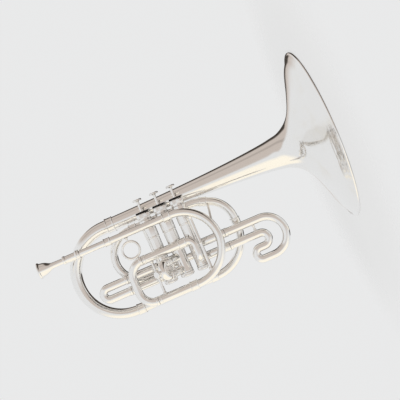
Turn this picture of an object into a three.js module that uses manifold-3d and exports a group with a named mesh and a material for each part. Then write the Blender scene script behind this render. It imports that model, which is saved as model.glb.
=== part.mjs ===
import * as THREE from 'three';
import { mergeVertices } from 'three/addons/utils/BufferGeometryUtils.js';
import Module from 'manifold-3d';

// A silver-plated marching mellophone with three piston valves, in millimetres.
// It is drawn lying along X with the bell's tail at zero and its rim towards +X, the buttons
// up along Z and the leadpipe on the side of -Y, and is then turned to stand on its bell.

// Clearances and walls
const seatGap = 0.3;
const slideGap = 0.3;
const tubeWall = 0.6;
const overrun = 3;
const mergeTolerance = 1e-4;
const straightTolerance = 1e-9;

// Facets of round forms
const tubeSides = 12;
const turnedSides = 12;
const passageSides = 8;
const bellSides = 28;
const bendStepDegrees = 30;
const wideBendStepDegrees = 22.5;
const wideBendRadius = 50;

// Bell
const bellDiameter = 265;
const bellRadius = bellDiameter / 2;
const bellLength = 347;
const rimBeadDepth = 3.2;
const rimBeadLip = 1.4;
const rimLand = 2.2;

// The bell's outline as shares of its length and of its rim radius, from tail to rim
const bellOutlineShares = [
  [1, 0.079], [0.79, 0.0885], [0.634, 0.102], [0.484, 0.121], [0.354, 0.145],
  [0.268, 0.1675], [0.225, 0.185], [0.179, 0.2115], [0.133, 0.287], [0.098, 0.4075],
  [0.065, 0.619], [0.037, 0.838], [0.0185, 0.93],
];
const straightTailPoints = 2;
const bellTailRadius = bellOutlineShares[0][1] * bellRadius;

// Planes of the tubes, measured from the bell's axis towards the leadpipe
const rearPlane = -10;
const valvePlane = -28;
const nearPlane = -46;

// Heights of the long runs below the bell's axis
const returnHeight = -19;
const leadpipeHeight = -21.7;
const tuningUpperHeight = -66.5;
const tuningLowerHeight = -130;
const bottomRunHeight = -134.4;

// Bell bow and bottom run
const bellBowRadius = -bottomRunHeight / 2;
const bellBowLead = 12;
const bellBowStep = 0.2;
const bellBowStartRadius = bellTailRadius - bellBowStep;
const bellBowEndRadius = 7.5;
const bottomRunEndRadius = 6.4;

// Rear bow, with a slanted ferrule near its top and a beaded ferrule at its right
const rearLowerStart = 114;
const rearUpperStart = 123;
const rearUpperRadius = 41;
const rearTubeRadius = 6.2;
const rearFirstBendDegrees = 17.7;
const rearTopFerruleLength = 12;
const rearMidFerruleLength = 14;

// Return bow behind the valves
const returnBowStart = 24;
const returnTubeRadius = 6;
const returnPortHeight = -94.8;
const portElbowRadius = 8;

// Valves
const valveCount = 3;
const firstValvePlace = 53;
const valveSpacing = 26.5;
const casingRadius = 10;
const casingBore = 8.6;
const casingTop = -13.7;
const casingBottom = -108.4;
const casingStepHeight = -42.6;
const casingStep = 0.45;
const neckRadius = 9.4;
const neckTopLength = 8.6;
const neckBottomLength = 4.6;
const capRadius = 10.5;
const capTop = -3;
const capCrown = 1.6;
const capRingHeight = 2.4;
const capRingStep = 0.5;
const bottomCapEnd = -115.5;
const bottomCapFloor = 1.6;
const bottomCapDraft = 3.1;
const capVentRadius = 1.5;

// Piston, with its spring barrel, stem and button
const pistonRadius = casingBore - slideGap;
const pistonBottom = -96.6;
const pistonBodyHeight = 52;
const lidClearance = 0.7;
const barrelWall = 0.8;
const guideWidth = 2.6;
const guideThick = 2;
const stemRadius = 2;
const stemHoleRadius = 2.4;
const lidThick = 1.8;
const buttonRadius = 7;
const buttonTop = 19;
const buttonThick = 2.6;
const buttonDish = 0.9;
const buttonPadRadius = 5.2;
const feltRadius = 9.9;
const feltThick = 2.4;
const pistonTravel = buttonTop - buttonThick - capTop - feltThick - 2 * seatGap;

// Valve springs
const springWireRadius = 0.45;
const springRadius = 6.2;
const springTurns = 5;
const springStepsPerTurn = 6;
const springSides = 3;

// Slide tubes that pass into one another
const slideOuterRadius = 6.3;
const slideOuterBore = 5.75;
const slideInnerRadius = slideOuterBore - slideGap;
const slideInnerBore = slideInnerRadius - tubeWall;
const slideBowRadius = 6.1;
const slideStep = 0.4;
const slideRingLength = 5;
const slideRingRadius = 6.9;

// First valve slide
const firstUpperHeight = -84.5;
const firstLowerHeight = -101.8;
const firstOuterEnd = -5;
const firstBowPlace = -38.2;
const firstInnerStart = 41;

// Second valve slide, turned towards the mouthpiece
const secondUpperHeight = -82.5;
const secondLowerHeight = -101.8;
const secondTurnDegrees = 36;
const secondOuterReach = 35;
const secondBowReach = 41.5;
const secondInnerReach = 13.6;
const secondKnobRadius = 5;
const secondKnobLength = 6;
const secondKnobStem = 4;

// Third valve slide, with a bow and two curls
const thirdUpperHeight = -78;
const thirdLowerHeight = -98.5;
const thirdOuterEnd = 153;
const thirdInnerStart = 121;
const thirdBowPlace = 208.6;
const thirdBowRadius = 28.9;
const thirdLeftCurlPlace = 192.8;
const thirdLeftCurlRadius = 8.8;
const thirdRightCurlPlace = 200.4;
const thirdBracePlace = 196;

// Leadpipe, receiver and mouthpiece
const receiverEnd = -79;
const receiverLength = 26;
const receiverFoot = receiverEnd + receiverLength;
const receiverLipRadius = 6.4;
const receiverWaistRadius = 5.6;
const receiverCollarRadius = 7.2;
const receiverLipLength = 4;
const receiverCollarLength = 5;
const receiverBore = 4.6;
const leadpipeSetback = 17;
const leadpipeStart = receiverEnd + leadpipeSetback;
const leadpipeStartRadius = 4.75;
const leadpipeEndRadius = 5.4;
const leadpipeEnd = 84;
const leadpipeFerrulePlace = -9;
const leadpipeFerruleLength = 10;
const mouthpieceShown = 39;
const mouthpieceEnd = receiverEnd - mouthpieceShown;
const mouthpieceRimRadius = 12.4;
const mouthpieceCupRadius = 8.6;
const mouthpieceThroatRadius = 2.2;
const mouthpieceRimDepth = 3.8;
const mouthpieceCupDepth = 11.4;
const mouthpieceCupEnd = 17.8;
const mouthpieceWaistEnd = 24.3;
const shankDepth = 15;
const shankTipPlace = receiverEnd + shankDepth;
const shankTipRadius = 3.6;
const shankRadius = receiverBore - slideGap;

// Front bow and main tuning slide
const frontBowPlace = 89.6;
const frontBowRadius = (leadpipeHeight - tuningLowerHeight) / 2;
const frontTubeRadius = 6;
const tuningOuterStart = 83;
const tuningUpperStart = 90.4;
const tuningOuterEnd = 27;
const tuningInnerStart = 79;
const tuningBowPlace = 4.3;
const tuningCornerRadius = 21.5;
const downElbowRadius = 9;
const downTubeRadius = 5.7;
const inletPortHeight = -98;
const crossoverHeight = -90;
const crossoverRadius = 5.4;

// Ferrules
const ferruleWall = 0.6;
const ferruleBead = 0.5;
const ferruleBeadLength = 1.4;
const ferruleLength = 12;

// Braces, stays and the finger ring
const braceRadius = 2;
const longBraceRadius = 2.6;
const braceSides = 8;
const braceFootRadius = 3.4;
const braceFootLength = 1.6;
const longBracePlace = 115;
const stayRadius = 1.8;
const frontStayDegrees = 66;
const frontStayOffset = 3.5;
const receiverStayRadius = 2.2;
const slideBraceInset = 6;
const fingerRingPlace = 18;
const fingerRingHeight = -46;
const fingerRingRadius = 12.8;
const fingerRingPostRadius = 1.7;
const fingerRingSaddleRadius = 3;
const fingerRingSaddleDepth = 1.4;
const fingerRingWireRadius = 1.8;
const fingerRingSteps = 16;
const fingerRingWireSides = 6;

// Colours of the plated metal and the small parts
const silver = { color: 0xdfe0df, roughness: 0.14, metalness: 1 };
const felt = { color: 0x191716, roughness: 0.95, metalness: 0 };
const steel = { color: 0xa9abad, roughness: 0.35, metalness: 1 };

const alongX = new THREE.Vector3(1, 0, 0);
const alongY = new THREE.Vector3(0, 1, 0);
const alongZ = new THREE.Vector3(0, 0, 1);
const backX = alongX.clone().negate();
const backY = alongY.clone().negate();
const backZ = alongZ.clone().negate();

const wasm = await Module();
wasm.setup();

const horn = new THREE.Group();

function point(x, y, z) {
  return new THREE.Vector3(x, y, z);
}

// One closed body with shared corners and its faces turned outwards
function closedBody(source) {
  const bare = source.clone();
  bare.deleteAttribute('normal');
  bare.deleteAttribute('uv');
  const merged = mergeVertices(bare, mergeTolerance);
  const places = merged.getAttribute('position');
  const corners = Array.from(merged.index.array);
  const kept = [];
  let volume = 0;
  const a = new THREE.Vector3();
  const b = new THREE.Vector3();
  const c = new THREE.Vector3();
  for (let i = 0; i < corners.length; i += 3) {
    const [p, q, r] = corners.slice(i, i + 3);
    if (p === q || q === r || r === p) continue;
    kept.push(p, q, r);
    a.fromBufferAttribute(places, p);
    b.fromBufferAttribute(places, q);
    c.fromBufferAttribute(places, r);
    volume += a.dot(b.cross(c));
  }
  merged.setIndex(volume < 0 ? kept.reverse() : kept);
  return merged;
}

function solidOf(geometry) {
  const body = closedBody(geometry);
  return new wasm.Manifold(new wasm.Mesh({
    numProp: 3,
    vertProperties: new Float32Array(body.getAttribute('position').array),
    triVerts: new Uint32Array(body.index.array),
  }));
}

function geometryOf(solid) {
  const mesh = solid.getMesh();
  const geometry = new THREE.BufferGeometry();
  geometry.setAttribute('position', new THREE.Float32BufferAttribute(mesh.vertProperties, 3));
  geometry.setIndex(Array.from(mesh.triVerts));
  return geometry;
}

function cutAway(geometry, tools) {
  return geometryOf(tools.reduce((rest, tool) => rest.subtract(solidOf(tool)), solidOf(geometry)));
}

function joined(geometries) {
  return geometryOf(geometries.map(solidOf).reduce((whole, next) => whole.add(next)));
}

// A centre line of straight runs and bends, kept as a row of stations
class Route {
  constructor(start, heading, side) {
    this.place = start.clone();
    this.heading = heading.clone().normalize();
    this.side = side.clone().normalize();
    this.travelled = 0;
    this.stations = [];
    this.mark();
  }

  mark() {
    const { place, heading, side, travelled } = this;
    this.stations.push({
      place: place.clone(), heading: heading.clone(), side: side.clone(), travelled,
    });
  }

  run(length) {
    this.place.addScaledVector(this.heading, length);
    this.travelled += length;
    this.mark();
    return this;
  }

  bend(radius, degrees, axis) {
    const centre = this.place.clone().add(axis.clone().cross(this.heading).multiplyScalar(radius));
    const stepDegrees = radius < wideBendRadius ? bendStepDegrees : wideBendStepDegrees;
    const steps = Math.ceil(degrees / stepDegrees);
    const turn = THREE.MathUtils.degToRad(degrees) / steps;
    for (let i = 0; i < steps; i += 1) {
      this.place.sub(centre).applyAxisAngle(axis, turn).add(centre);
      this.heading.applyAxisAngle(axis, turn);
      this.side.applyAxisAngle(axis, turn);
      this.travelled += radius * turn;
      this.mark();
    }
    return this;
  }
}

function sizeAt(size, station, index, whole) {
  if (Array.isArray(size)) return size[index];
  if (typeof size === 'function') return size(station.travelled, whole);
  return size;
}

// A tube along a route: a bore of zero leaves it solid, and a straight bore has two rings
function tubeAlong(route, outer, bore, sides = tubeSides, boreSides = sides / 2) {
  const whole = route.travelled;
  const places = [];
  const corners = [];
  const ring = (station, radius, number) => {
    const across = station.side;
    const up = station.heading.clone().cross(across);
    for (let i = 0; i < number; i += 1) {
      const angle = (2 * Math.PI * i) / number;
      const corner = station.place.clone();
      corner.addScaledVector(across, radius * Math.cos(angle));
      corner.addScaledVector(up, radius * Math.sin(angle));
      places.push(corner.x, corner.y, corner.z);
    }
  };
  const skin = (first, second, number) => {
    for (let i = 0; i < number; i += 1) {
      const next = (i + 1) % number;
      corners.push(first + i, first + next, second + next, first + i, second + next, second + i);
    }
  };
  // The flat end between the outer ring and the bore's ring, which may have fewer corners
  const rim = (outerRing, boreRing, flip) => {
    const share = sides / boreSides;
    const add = (a, b, c) => (flip ? corners.push(a, c, b) : corners.push(a, b, c));
    for (let i = 0; i < sides; i += 1) {
      const here = boreRing + Math.floor(i / share);
      const next = boreRing + (Math.floor((i + 1) / share) % boreSides);
      add(outerRing + i, here, outerRing + ((i + 1) % sides));
      if (next !== here) add(outerRing + ((i + 1) % sides), here, next);
    }
  };
  const rings = route.stations;
  rings.forEach((station, i) => ring(station, sizeAt(outer, station, i, whole), sides));
  const count = rings.length;
  const lastRing = (count - 1) * sides;
  for (let i = 0; i + 1 < count; i += 1) skin(i * sides, (i + 1) * sides, sides);
  if (bore !== 0) {
    const turning = (station) => station.heading.distanceTo(rings[0].heading) > straightTolerance;
    const straight = !rings.some(turning);
    const kept = straight && typeof bore === 'number' ? [rings[0], rings[count - 1]] : rings;
    const boreStart = count * sides;
    kept.forEach((station, i) => ring(station, sizeAt(bore, station, i, whole), boreSides));
    for (let i = 0; i + 1 < kept.length; i += 1) {
      skin(boreStart + (i + 1) * boreSides, boreStart + i * boreSides, boreSides);
    }
    rim(0, boreStart, false);
    rim(lastRing, boreStart + (kept.length - 1) * boreSides, true);
  } else {
    for (let i = 1; i + 1 < sides; i += 1) {
      corners.push(0, i + 1, i, lastRing, lastRing + i, lastRing + i + 1);
    }
  }
  const geometry = new THREE.BufferGeometry();
  geometry.setAttribute('position', new THREE.Float32BufferAttribute(places, 3));
  geometry.setIndex(corners);
  return geometry;
}

function rod(start, end, side, radius, sides = tubeSides) {
  const heading = end.clone().sub(start);
  const route = new Route(start, heading, side).run(heading.length());
  return tubeAlong(route, radius, 0, sides);
}

// A turned form about an axis: its outline holds places along the axis and radii
function turned(outline, start, heading, sides = turnedSides) {
  const outlinePoints = outline.map(([along, radius]) => new THREE.Vector2(radius, along));
  const geometry = new THREE.LatheGeometry(outlinePoints, sides);
  geometry.applyQuaternion(new THREE.Quaternion().setFromUnitVectors(alongY, heading));
  geometry.translate(start.x, start.y, start.z);
  return geometry;
}

function place(name, geometry, finish) {
  const mesh = new THREE.Mesh(closedBody(geometry), new THREE.MeshStandardMaterial(finish));
  mesh.name = name;
  horn.add(mesh);
}

// Bore of a faceted ferrule whose flats clear a tube
function ferruleBore(tubeRadius) {
  return (tubeRadius + seatGap) / Math.cos(Math.PI / tubeSides);
}

// A ferrule round a joint, with a bead at each end
function ferruleForm(middle, heading, side, length, tubeRadius) {
  const bore = ferruleBore(tubeRadius);
  const plain = bore + ferruleWall;
  const beaded = plain + ferruleBead;
  const start = middle.clone().addScaledVector(heading, -length / 2);
  const route = new Route(start, heading, side);
  route.run(ferruleBeadLength).run(length - 2 * ferruleBeadLength).run(ferruleBeadLength);
  const outer = [beaded, plain, plain, beaded];
  return tubeAlong(route, outer, bore, tubeSides, tubeSides);
}

function ferrule(name, middle, heading, side, length, tubeRadius) {
  place(name, ferruleForm(middle, heading, side, length, tubeRadius), silver);
}

function graded(from, to) {
  return (travelled, whole) => from + (to - from) * (travelled / whole);
}

function gradedBore(from, to) {
  return graded(from - tubeWall, to - tubeWall);
}

function valvePlace(index) {
  return firstValvePlace + valveSpacing * index;
}

function casingClearing(index) {
  const foot = point(valvePlace(index), valvePlane, bottomCapEnd);
  const head = point(valvePlace(index), valvePlane, capTop);
  return rod(foot, head, alongX, casingRadius + seatGap, turnedSides);
}

function bell() {
  const back = bellOutlineShares.map(([along, radius]) => [along * bellLength, radius * bellRadius]);
  const inside = back.map(([along, radius], i) => {
    const before = back[Math.max(0, i - 1)];
    const after = back[Math.min(back.length - 1, i + 1)];
    const slope = Math.atan2(after[1] - before[1], before[0] - after[0]);
    return [along - tubeWall * Math.sin(slope), radius - tubeWall * Math.cos(slope)];
  });
  inside[0][0] = back[0][0];
  inside.splice(1, straightTailPoints);
  const outline = [
    ...back,
    [rimBeadDepth, bellRadius - rimBeadLip],
    [rimBeadDepth / 2, bellRadius],
    [0, bellRadius - rimBeadLip],
    [0, bellRadius - rimBeadLip - rimLand],
    ...inside.reverse(),
    back[0],
  ];
  place('bell', turned(outline, point(bellLength, 0, 0), backX, bellSides), silver);
}

function bellBowRoute() {
  const tail = point(-seatGap, 0, 0);
  const bow = new Route(tail, backX, alongY).run(bellBowLead).bend(bellBowRadius, 180, backY);
  return bow.run(ferruleLength / 2);
}

// Height of the bell bow's upper quarter at a place along the horn
function bellBowHeightAt(x) {
  const reach = -seatGap - bellBowLead - x;
  return Math.sqrt(bellBowRadius ** 2 - reach ** 2) - bellBowRadius;
}

function bellBranch() {
  const bow = bellBowRoute();
  const tail = bow.stations[0].place;
  place('bell_bow', tubeAlong(
    bow,
    graded(bellBowStartRadius, bellBowEndRadius),
    gradedBore(bellBowStartRadius, bellBowEndRadius),
  ), silver);
  const [[tailShare, tailRadiusShare], [nextShare, nextRadiusShare]] = bellOutlineShares;
  const flareShare = (nextRadiusShare - tailRadiusShare) / (tailShare - nextShare);
  const flare = flareShare * bellRadius / bellLength;
  const seatRadius = bellTailRadius + flare * ferruleLength / 2;
  ferrule('bell_ferrule', tail, backX, alongY, ferruleLength, seatRadius);
  const runStart = bow.place.clone().addScaledVector(alongX, seatGap);
  const runLength = rearLowerStart - runStart.x - seatGap;
  const run = new Route(runStart, alongX, alongY).run(runLength);
  place('bottom_rear_tube', tubeAlong(
    run,
    graded(bellBowEndRadius, bottomRunEndRadius),
    gradedBore(bellBowEndRadius, bottomRunEndRadius),
  ), silver);
  ferrule('bottom_ferrule', runStart, alongX, alongY, ferruleLength, bellBowEndRadius);
  ferrule('bottom_rear_ferrule', run.place, alongX, alongY, ferruleLength, bottomRunEndRadius);
}

// Stay from the rear bow's slanted ferrule to the front bow, whose tube it is cut to
function frontStay(ferruleMiddle) {
  const bow = frontBowRoute();
  const turn = THREE.MathUtils.degToRad(frontStayDegrees);
  const middle = point(frontBowPlace, nearPlane, leadpipeHeight - frontBowRadius);
  const outward = point(Math.sin(turn), 0, Math.cos(turn));
  const foot = middle.addScaledVector(outward, frontBowRadius + frontStayOffset);
  const heading = foot.clone().sub(ferruleMiddle).normalize();
  const inset = ferruleBore(rearTubeRadius) + ferruleWall / 2;
  const root = ferruleMiddle.clone().addScaledVector(heading, inset);
  const bowSeat = tubeAlong(bow, frontTubeRadius + seatGap, 0);
  return cutAway(rod(root, foot, alongX, stayRadius, braceSides), [bowSeat]);
}

// The rear bow leans from the rear plane at its top to the bell's plane at its bottom
function rearBow() {
  const lean = Math.atan2(-rearPlane, returnHeight - bottomRunHeight);
  const drop = Math.hypot(rearPlane, returnHeight - bottomRunHeight);
  const axis = point(0, Math.cos(lean), Math.sin(lean));
  const slant = THREE.MathUtils.degToRad(rearFirstBendDegrees);
  const slantDrop = rearTopFerruleLength * Math.sin(slant);
  const lowerRadius = drop - rearMidFerruleLength - slantDrop - rearUpperRadius;
  const bore = rearTubeRadius - tubeWall;
  const pipeStart = returnBowStart + ferruleLength / 2 + seatGap;
  const pipe = new Route(point(pipeStart, rearPlane, returnHeight), alongX, axis);
  pipe.run(rearUpperStart - pipeStart).bend(rearUpperRadius, rearFirstBendDegrees, axis);
  pipe.run(rearTopFerruleLength / 2);
  place('return_pipe', tubeAlong(pipe, rearTubeRadius, bore), silver);
  const topForm = ferruleForm(pipe.place, pipe.heading, axis, rearTopFerruleLength, rearTubeRadius);
  place('rear_bow_top_ferrule', joined([topForm, frontStay(pipe.place)]), silver);
  const upperStart = pipe.place.clone().addScaledVector(pipe.heading, seatGap);
  const upper = new Route(upperStart, pipe.heading, axis).run(rearTopFerruleLength / 2 - seatGap);
  upper.bend(rearUpperRadius, 90 - rearFirstBendDegrees, axis).run(rearMidFerruleLength / 2);
  place('rear_bow_upper', tubeAlong(upper, rearTubeRadius, bore), silver);
  ferrule('rear_bow_middle_ferrule', upper.place, upper.heading, axis, rearMidFerruleLength,
    rearTubeRadius);
  const lowerStart = upper.place.clone().addScaledVector(upper.heading, seatGap);
  const lower = new Route(lowerStart, upper.heading, axis).run(rearMidFerruleLength / 2 - seatGap);
  lower.bend(lowerRadius, 90, axis).run(lower.place.x - rearLowerStart - seatGap);
  place('rear_bow_lower', tubeAlong(lower, rearTubeRadius, bore), silver);
}

function returnBow() {
  const start = point(returnBowStart + ferruleLength / 2, rearPlane, returnHeight);
  const radius = (returnHeight - returnPortHeight) / 2;
  const route = new Route(start, backX, alongY).run(ferruleLength / 2).bend(radius, 180, backY);
  route.run(firstValvePlace - returnBowStart - portElbowRadius);
  route.bend(portElbowRadius, 90, backZ).run(rearPlane - valvePlane - portElbowRadius);
  const tube = tubeAlong(route, returnTubeRadius, returnTubeRadius - tubeWall);
  place('return_bow', cutAway(tube, [casingClearing(0)]), silver);
  ferrule('return_ferrule', start, alongX, alongY, ferruleLength, rearTubeRadius);
}

// Casing of one valve, with its necks for the caps and a port for each tube it carries
function casing(index) {
  const outline = [
    [casingTop + neckTopLength, neckRadius], [casingTop + neckTopLength, casingBore],
    [casingBottom - neckBottomLength, casingBore], [casingBottom - neckBottomLength, neckRadius],
    [casingBottom, neckRadius], [casingBottom, casingRadius],
    [casingStepHeight, casingRadius], [casingStepHeight, casingRadius + casingStep],
    [casingTop, casingRadius + casingStep], [casingTop, neckRadius],
  ];
  outline.push(outline[0]);
  const middle = point(valvePlace(index), valvePlane, 0);
  const port = (heading, height, radius) => {
    const inner = point(middle.x, middle.y, height);
    const outer = inner.clone().addScaledVector(heading, casingRadius + overrun);
    return rod(inner, outer, alongZ, radius, passageSides);
  };
  const ports = [
    [[backX, firstUpperHeight, slideOuterBore], [backX, firstLowerHeight, slideOuterBore],
      [alongY, returnPortHeight, returnTubeRadius - tubeWall],
      [alongX, crossoverHeight, crossoverRadius - tubeWall]],
    [[secondHeading(), secondUpperHeight, slideOuterBore],
      [secondHeading(), secondLowerHeight, slideOuterBore],
      [alongX, crossoverHeight, crossoverRadius - tubeWall],
      [backX, crossoverHeight, crossoverRadius - tubeWall]],
    [[alongX, thirdUpperHeight, slideOuterBore], [alongX, thirdLowerHeight, slideOuterBore],
      [backY, inletPortHeight, downTubeRadius - tubeWall],
      [backX, crossoverHeight, crossoverRadius - tubeWall]],
  ];
  const tools = ports[index].map(([heading, height, radius]) => port(heading, height, radius));
  const sleeve = turned(outline, middle, alongZ);
  place(`valve_casing_${index + 1}`, cutAway(sleeve, tools), silver);
}

function valveCaps(index) {
  const middle = point(valvePlace(index), valvePlane, 0);
  const capBore = neckRadius + seatGap;
  const skirtEnd = casingTop + seatGap;
  const ringEnd = capTop - capRingHeight;
  const top = [
    [capTop, stemHoleRadius], [capTop - capCrown, stemHoleRadius],
    [capTop - capCrown, capBore], [skirtEnd, capBore], [skirtEnd, capRadius],
    [ringEnd, capRadius - capRingStep], [ringEnd, capRadius], [capTop - capRingStep, capRadius],
    [capTop, capRadius - capRingStep],
  ];
  top.push(top[0]);
  place(`top_cap_${index + 1}`, turned(top, middle, alongZ), silver);
  const floorTop = bottomCapEnd + bottomCapFloor;
  const bottom = [
    [floorTop, capVentRadius], [floorTop, capBore], [casingBottom - seatGap, capBore],
    [casingBottom - seatGap, capRadius], [bottomCapEnd + capRingHeight, capRadius],
    [bottomCapEnd, capRadius - bottomCapDraft], [bottomCapEnd, capVentRadius],
  ];
  bottom.push(bottom[0]);
  place(`bottom_cap_${index + 1}`, turned(bottom, middle, alongZ), silver);
}

// Piston with a slotted spring barrel, air passages and a bar that keys it to the casing
function piston(index) {
  const middle = point(valvePlace(index), valvePlane, 0);
  const bodyTop = pistonBottom + pistonBodyHeight;
  const lidBottom = capTop - capCrown - lidClearance - lidThick;
  const barrelTop = lidBottom - seatGap;
  const barrelBore = pistonRadius - barrelWall;
  const outline = [
    [pistonBottom, 0], [pistonBottom, pistonRadius], [barrelTop, pistonRadius],
    [barrelTop, barrelBore], [bodyTop, barrelBore], [bodyTop, 0],
  ];
  const guideHeight = bodyTop + guideThick / 2 + seatGap;
  const slot = new THREE.BoxGeometry(
    guideWidth + 2 * slideGap,
    2 * (pistonRadius + overrun),
    pistonTravel + guideThick + 2 * slideGap,
  );
  slot.translate(middle.x, middle.y, guideHeight + pistonTravel / 2);
  const inner = (height, across) => rod(
    point(middle.x, middle.y, height).addScaledVector(across, -pistonRadius - overrun),
    point(middle.x, middle.y, height).addScaledVector(across, pistonRadius + overrun),
    alongZ,
    crossoverRadius - tubeWall,
    passageSides,
  );
  const passages = [inner(crossoverHeight, alongX), inner(crossoverHeight + pistonTravel, alongX)];
  const body = cutAway(turned(outline, middle, alongZ), [slot, ...passages]);
  place(`valve_piston_${index + 1}`, body, steel);

  const guideReach = pistonRadius * Math.cos(Math.PI / turnedSides);
  const guide = new THREE.BoxGeometry(guideWidth, 2 * guideReach, guideThick);
  guide.translate(middle.x, middle.y, guideHeight);
  place(`valve_guide_${index + 1}`, guide, steel);

  const stem = [
    [lidBottom, 0], [lidBottom, pistonRadius], [lidBottom + lidThick, pistonRadius],
    [lidBottom + lidThick, stemRadius], [buttonTop - buttonThick, stemRadius],
    [buttonTop - buttonThick, buttonRadius],
    [buttonTop - buttonDish, buttonRadius], [buttonTop, buttonRadius - buttonDish],
    [buttonTop, buttonPadRadius], [buttonTop - buttonDish, buttonPadRadius],
    [buttonTop - buttonDish, 0],
  ];
  place(`valve_stem_${index + 1}`, turned(stem, middle, alongZ), silver);

  const coil = new Route(middle, alongZ, alongX);
  coil.stations = [];
  const springBottom = guideHeight + guideThick / 2 + seatGap + springWireRadius;
  const springTop = lidBottom - seatGap - springWireRadius;
  const steps = springTurns * springStepsPerTurn;
  const pitch = (springTop - springBottom) / springTurns;
  for (let i = 0; i <= steps; i += 1) {
    const angle = (2 * Math.PI * i) / springStepsPerTurn;
    const out = point(Math.cos(angle), Math.sin(angle), 0);
    const rise = springBottom + (pitch * i) / springStepsPerTurn;
    const heading = point(-Math.sin(angle), Math.cos(angle), pitch / (2 * Math.PI * springRadius));
    heading.normalize();
    const spot = point(middle.x, middle.y, rise).addScaledVector(out, springRadius);
    coil.stations.push({ place: spot, heading, side: out, travelled: i });
  }
  place(`valve_spring_${index + 1}`, tubeAlong(coil, springWireRadius, 0, springSides), steel);

  const feltOutline = [
    [capTop + seatGap, stemHoleRadius], [capTop + seatGap, feltRadius],
    [capTop + seatGap + feltThick, feltRadius], [capTop + seatGap + feltThick, stemHoleRadius],
  ];
  feltOutline.push(feltOutline[0]);
  place(`cap_felt_${index + 1}`, turned(feltOutline, middle, alongZ), felt);
}

function crossovers() {
  for (let index = 0; index + 1 < valveCount; index += 1) {
    const start = point(valvePlace(index), valvePlane, crossoverHeight);
    const route = new Route(start, alongX, alongZ).run(valveSpacing);
    const tube = tubeAlong(route, crossoverRadius, crossoverRadius - tubeWall);
    const cleared = cutAway(tube, [casingClearing(index), casingClearing(index + 1)]);
    place(`valve_crossover_${index + 1}`, cleared, silver);
  }
}

function secondHeading() {
  const turn = THREE.MathUtils.degToRad(secondTurnDegrees);
  return point(-Math.sin(turn), -Math.cos(turn), 0);
}

// Two fixed slide tubes on a casing, joined by a short brace near their open ends
function slideTubes(name, index, heading, heights, reach) {
  const middle = point(valvePlace(index), valvePlane, 0);
  const tubes = heights.map((height) => {
    const route = new Route(point(middle.x, middle.y, height), heading, alongZ);
    route.run(reach - slideRingLength).run(slideStep).run(slideRingLength - slideStep);
    const outer = [slideOuterRadius, slideOuterRadius, slideRingRadius, slideRingRadius];
    const tube = tubeAlong(route, outer, slideOuterBore, tubeSides, tubeSides);
    return cutAway(tube, [casingClearing(index)]);
  });
  const spot = middle.clone().addScaledVector(heading, reach - slideRingLength - slideBraceInset);
  const bar = rod(
    point(spot.x, spot.y, heights[0] - slideOuterBore - tubeWall / 2),
    point(spot.x, spot.y, heights[1] + slideOuterBore + tubeWall / 2),
    heading,
    braceRadius,
    braceSides,
  );
  place(name, joined([...tubes, bar]), silver);
}

// Radii of a moving slide: slim legs that pass into the fixed tubes, and a wider bow
function slideSizes(legLength, slim, wide) {
  return (travelled, whole) => {
    const fromEnd = Math.min(travelled, whole - travelled);
    return fromEnd < legLength + slideStep / 2 ? slim : wide;
  };
}

function slideBow(route, legLength) {
  const outer = slideSizes(legLength, slideInnerRadius, slideBowRadius);
  const bore = slideSizes(legLength, slideInnerBore, slideBowRadius - tubeWall);
  return tubeAlong(route, outer, bore);
}

function firstSlide() {
  const heights = [firstUpperHeight, firstLowerHeight];
  slideTubes('first_slide_tubes', 0, backX, heights, firstValvePlace - firstOuterEnd);
  const leg = firstInnerStart - firstOuterEnd + seatGap;
  const rest = firstOuterEnd - seatGap - slideStep - firstBowPlace;
  const radius = (firstUpperHeight - firstLowerHeight) / 2;
  const route = new Route(point(firstInnerStart, valvePlane, firstUpperHeight), backX, alongZ);
  route.run(leg).run(slideStep).run(rest).bend(radius, 180, backY);
  route.run(rest).run(slideStep).run(leg);
  place('first_slide', slideBow(route, leg), silver);
}

function secondSlide() {
  const heading = secondHeading();
  const heights = [secondUpperHeight, secondLowerHeight];
  slideTubes('second_slide_tubes', 1, heading, heights, secondOuterReach);
  const leg = secondOuterReach - secondInnerReach + seatGap;
  const rest = secondBowReach - secondOuterReach - seatGap - slideStep;
  const radius = (secondUpperHeight - secondLowerHeight) / 2;
  const start = point(valvePlace(1), valvePlane, secondUpperHeight);
  start.addScaledVector(heading, secondInnerReach);
  const axis = heading.clone().cross(backZ);
  const route = new Route(start, heading, alongZ).run(leg).run(slideStep).run(rest);
  route.bend(radius, 180, axis).run(rest).run(slideStep).run(leg);
  const tip = point(valvePlace(1), valvePlane, (secondUpperHeight + secondLowerHeight) / 2);
  tip.addScaledVector(heading, secondBowReach + radius + slideBowRadius - tubeWall / 2);
  const knob = turned([
    [0, 0], [0, braceRadius], [secondKnobStem, braceRadius],
    [secondKnobStem, secondKnobRadius], [secondKnobStem + secondKnobLength, secondKnobRadius],
    [secondKnobStem + secondKnobLength, 0],
  ], tip, heading);
  place('second_slide', joined([slideBow(route, leg), knob]), silver);
}

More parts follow.
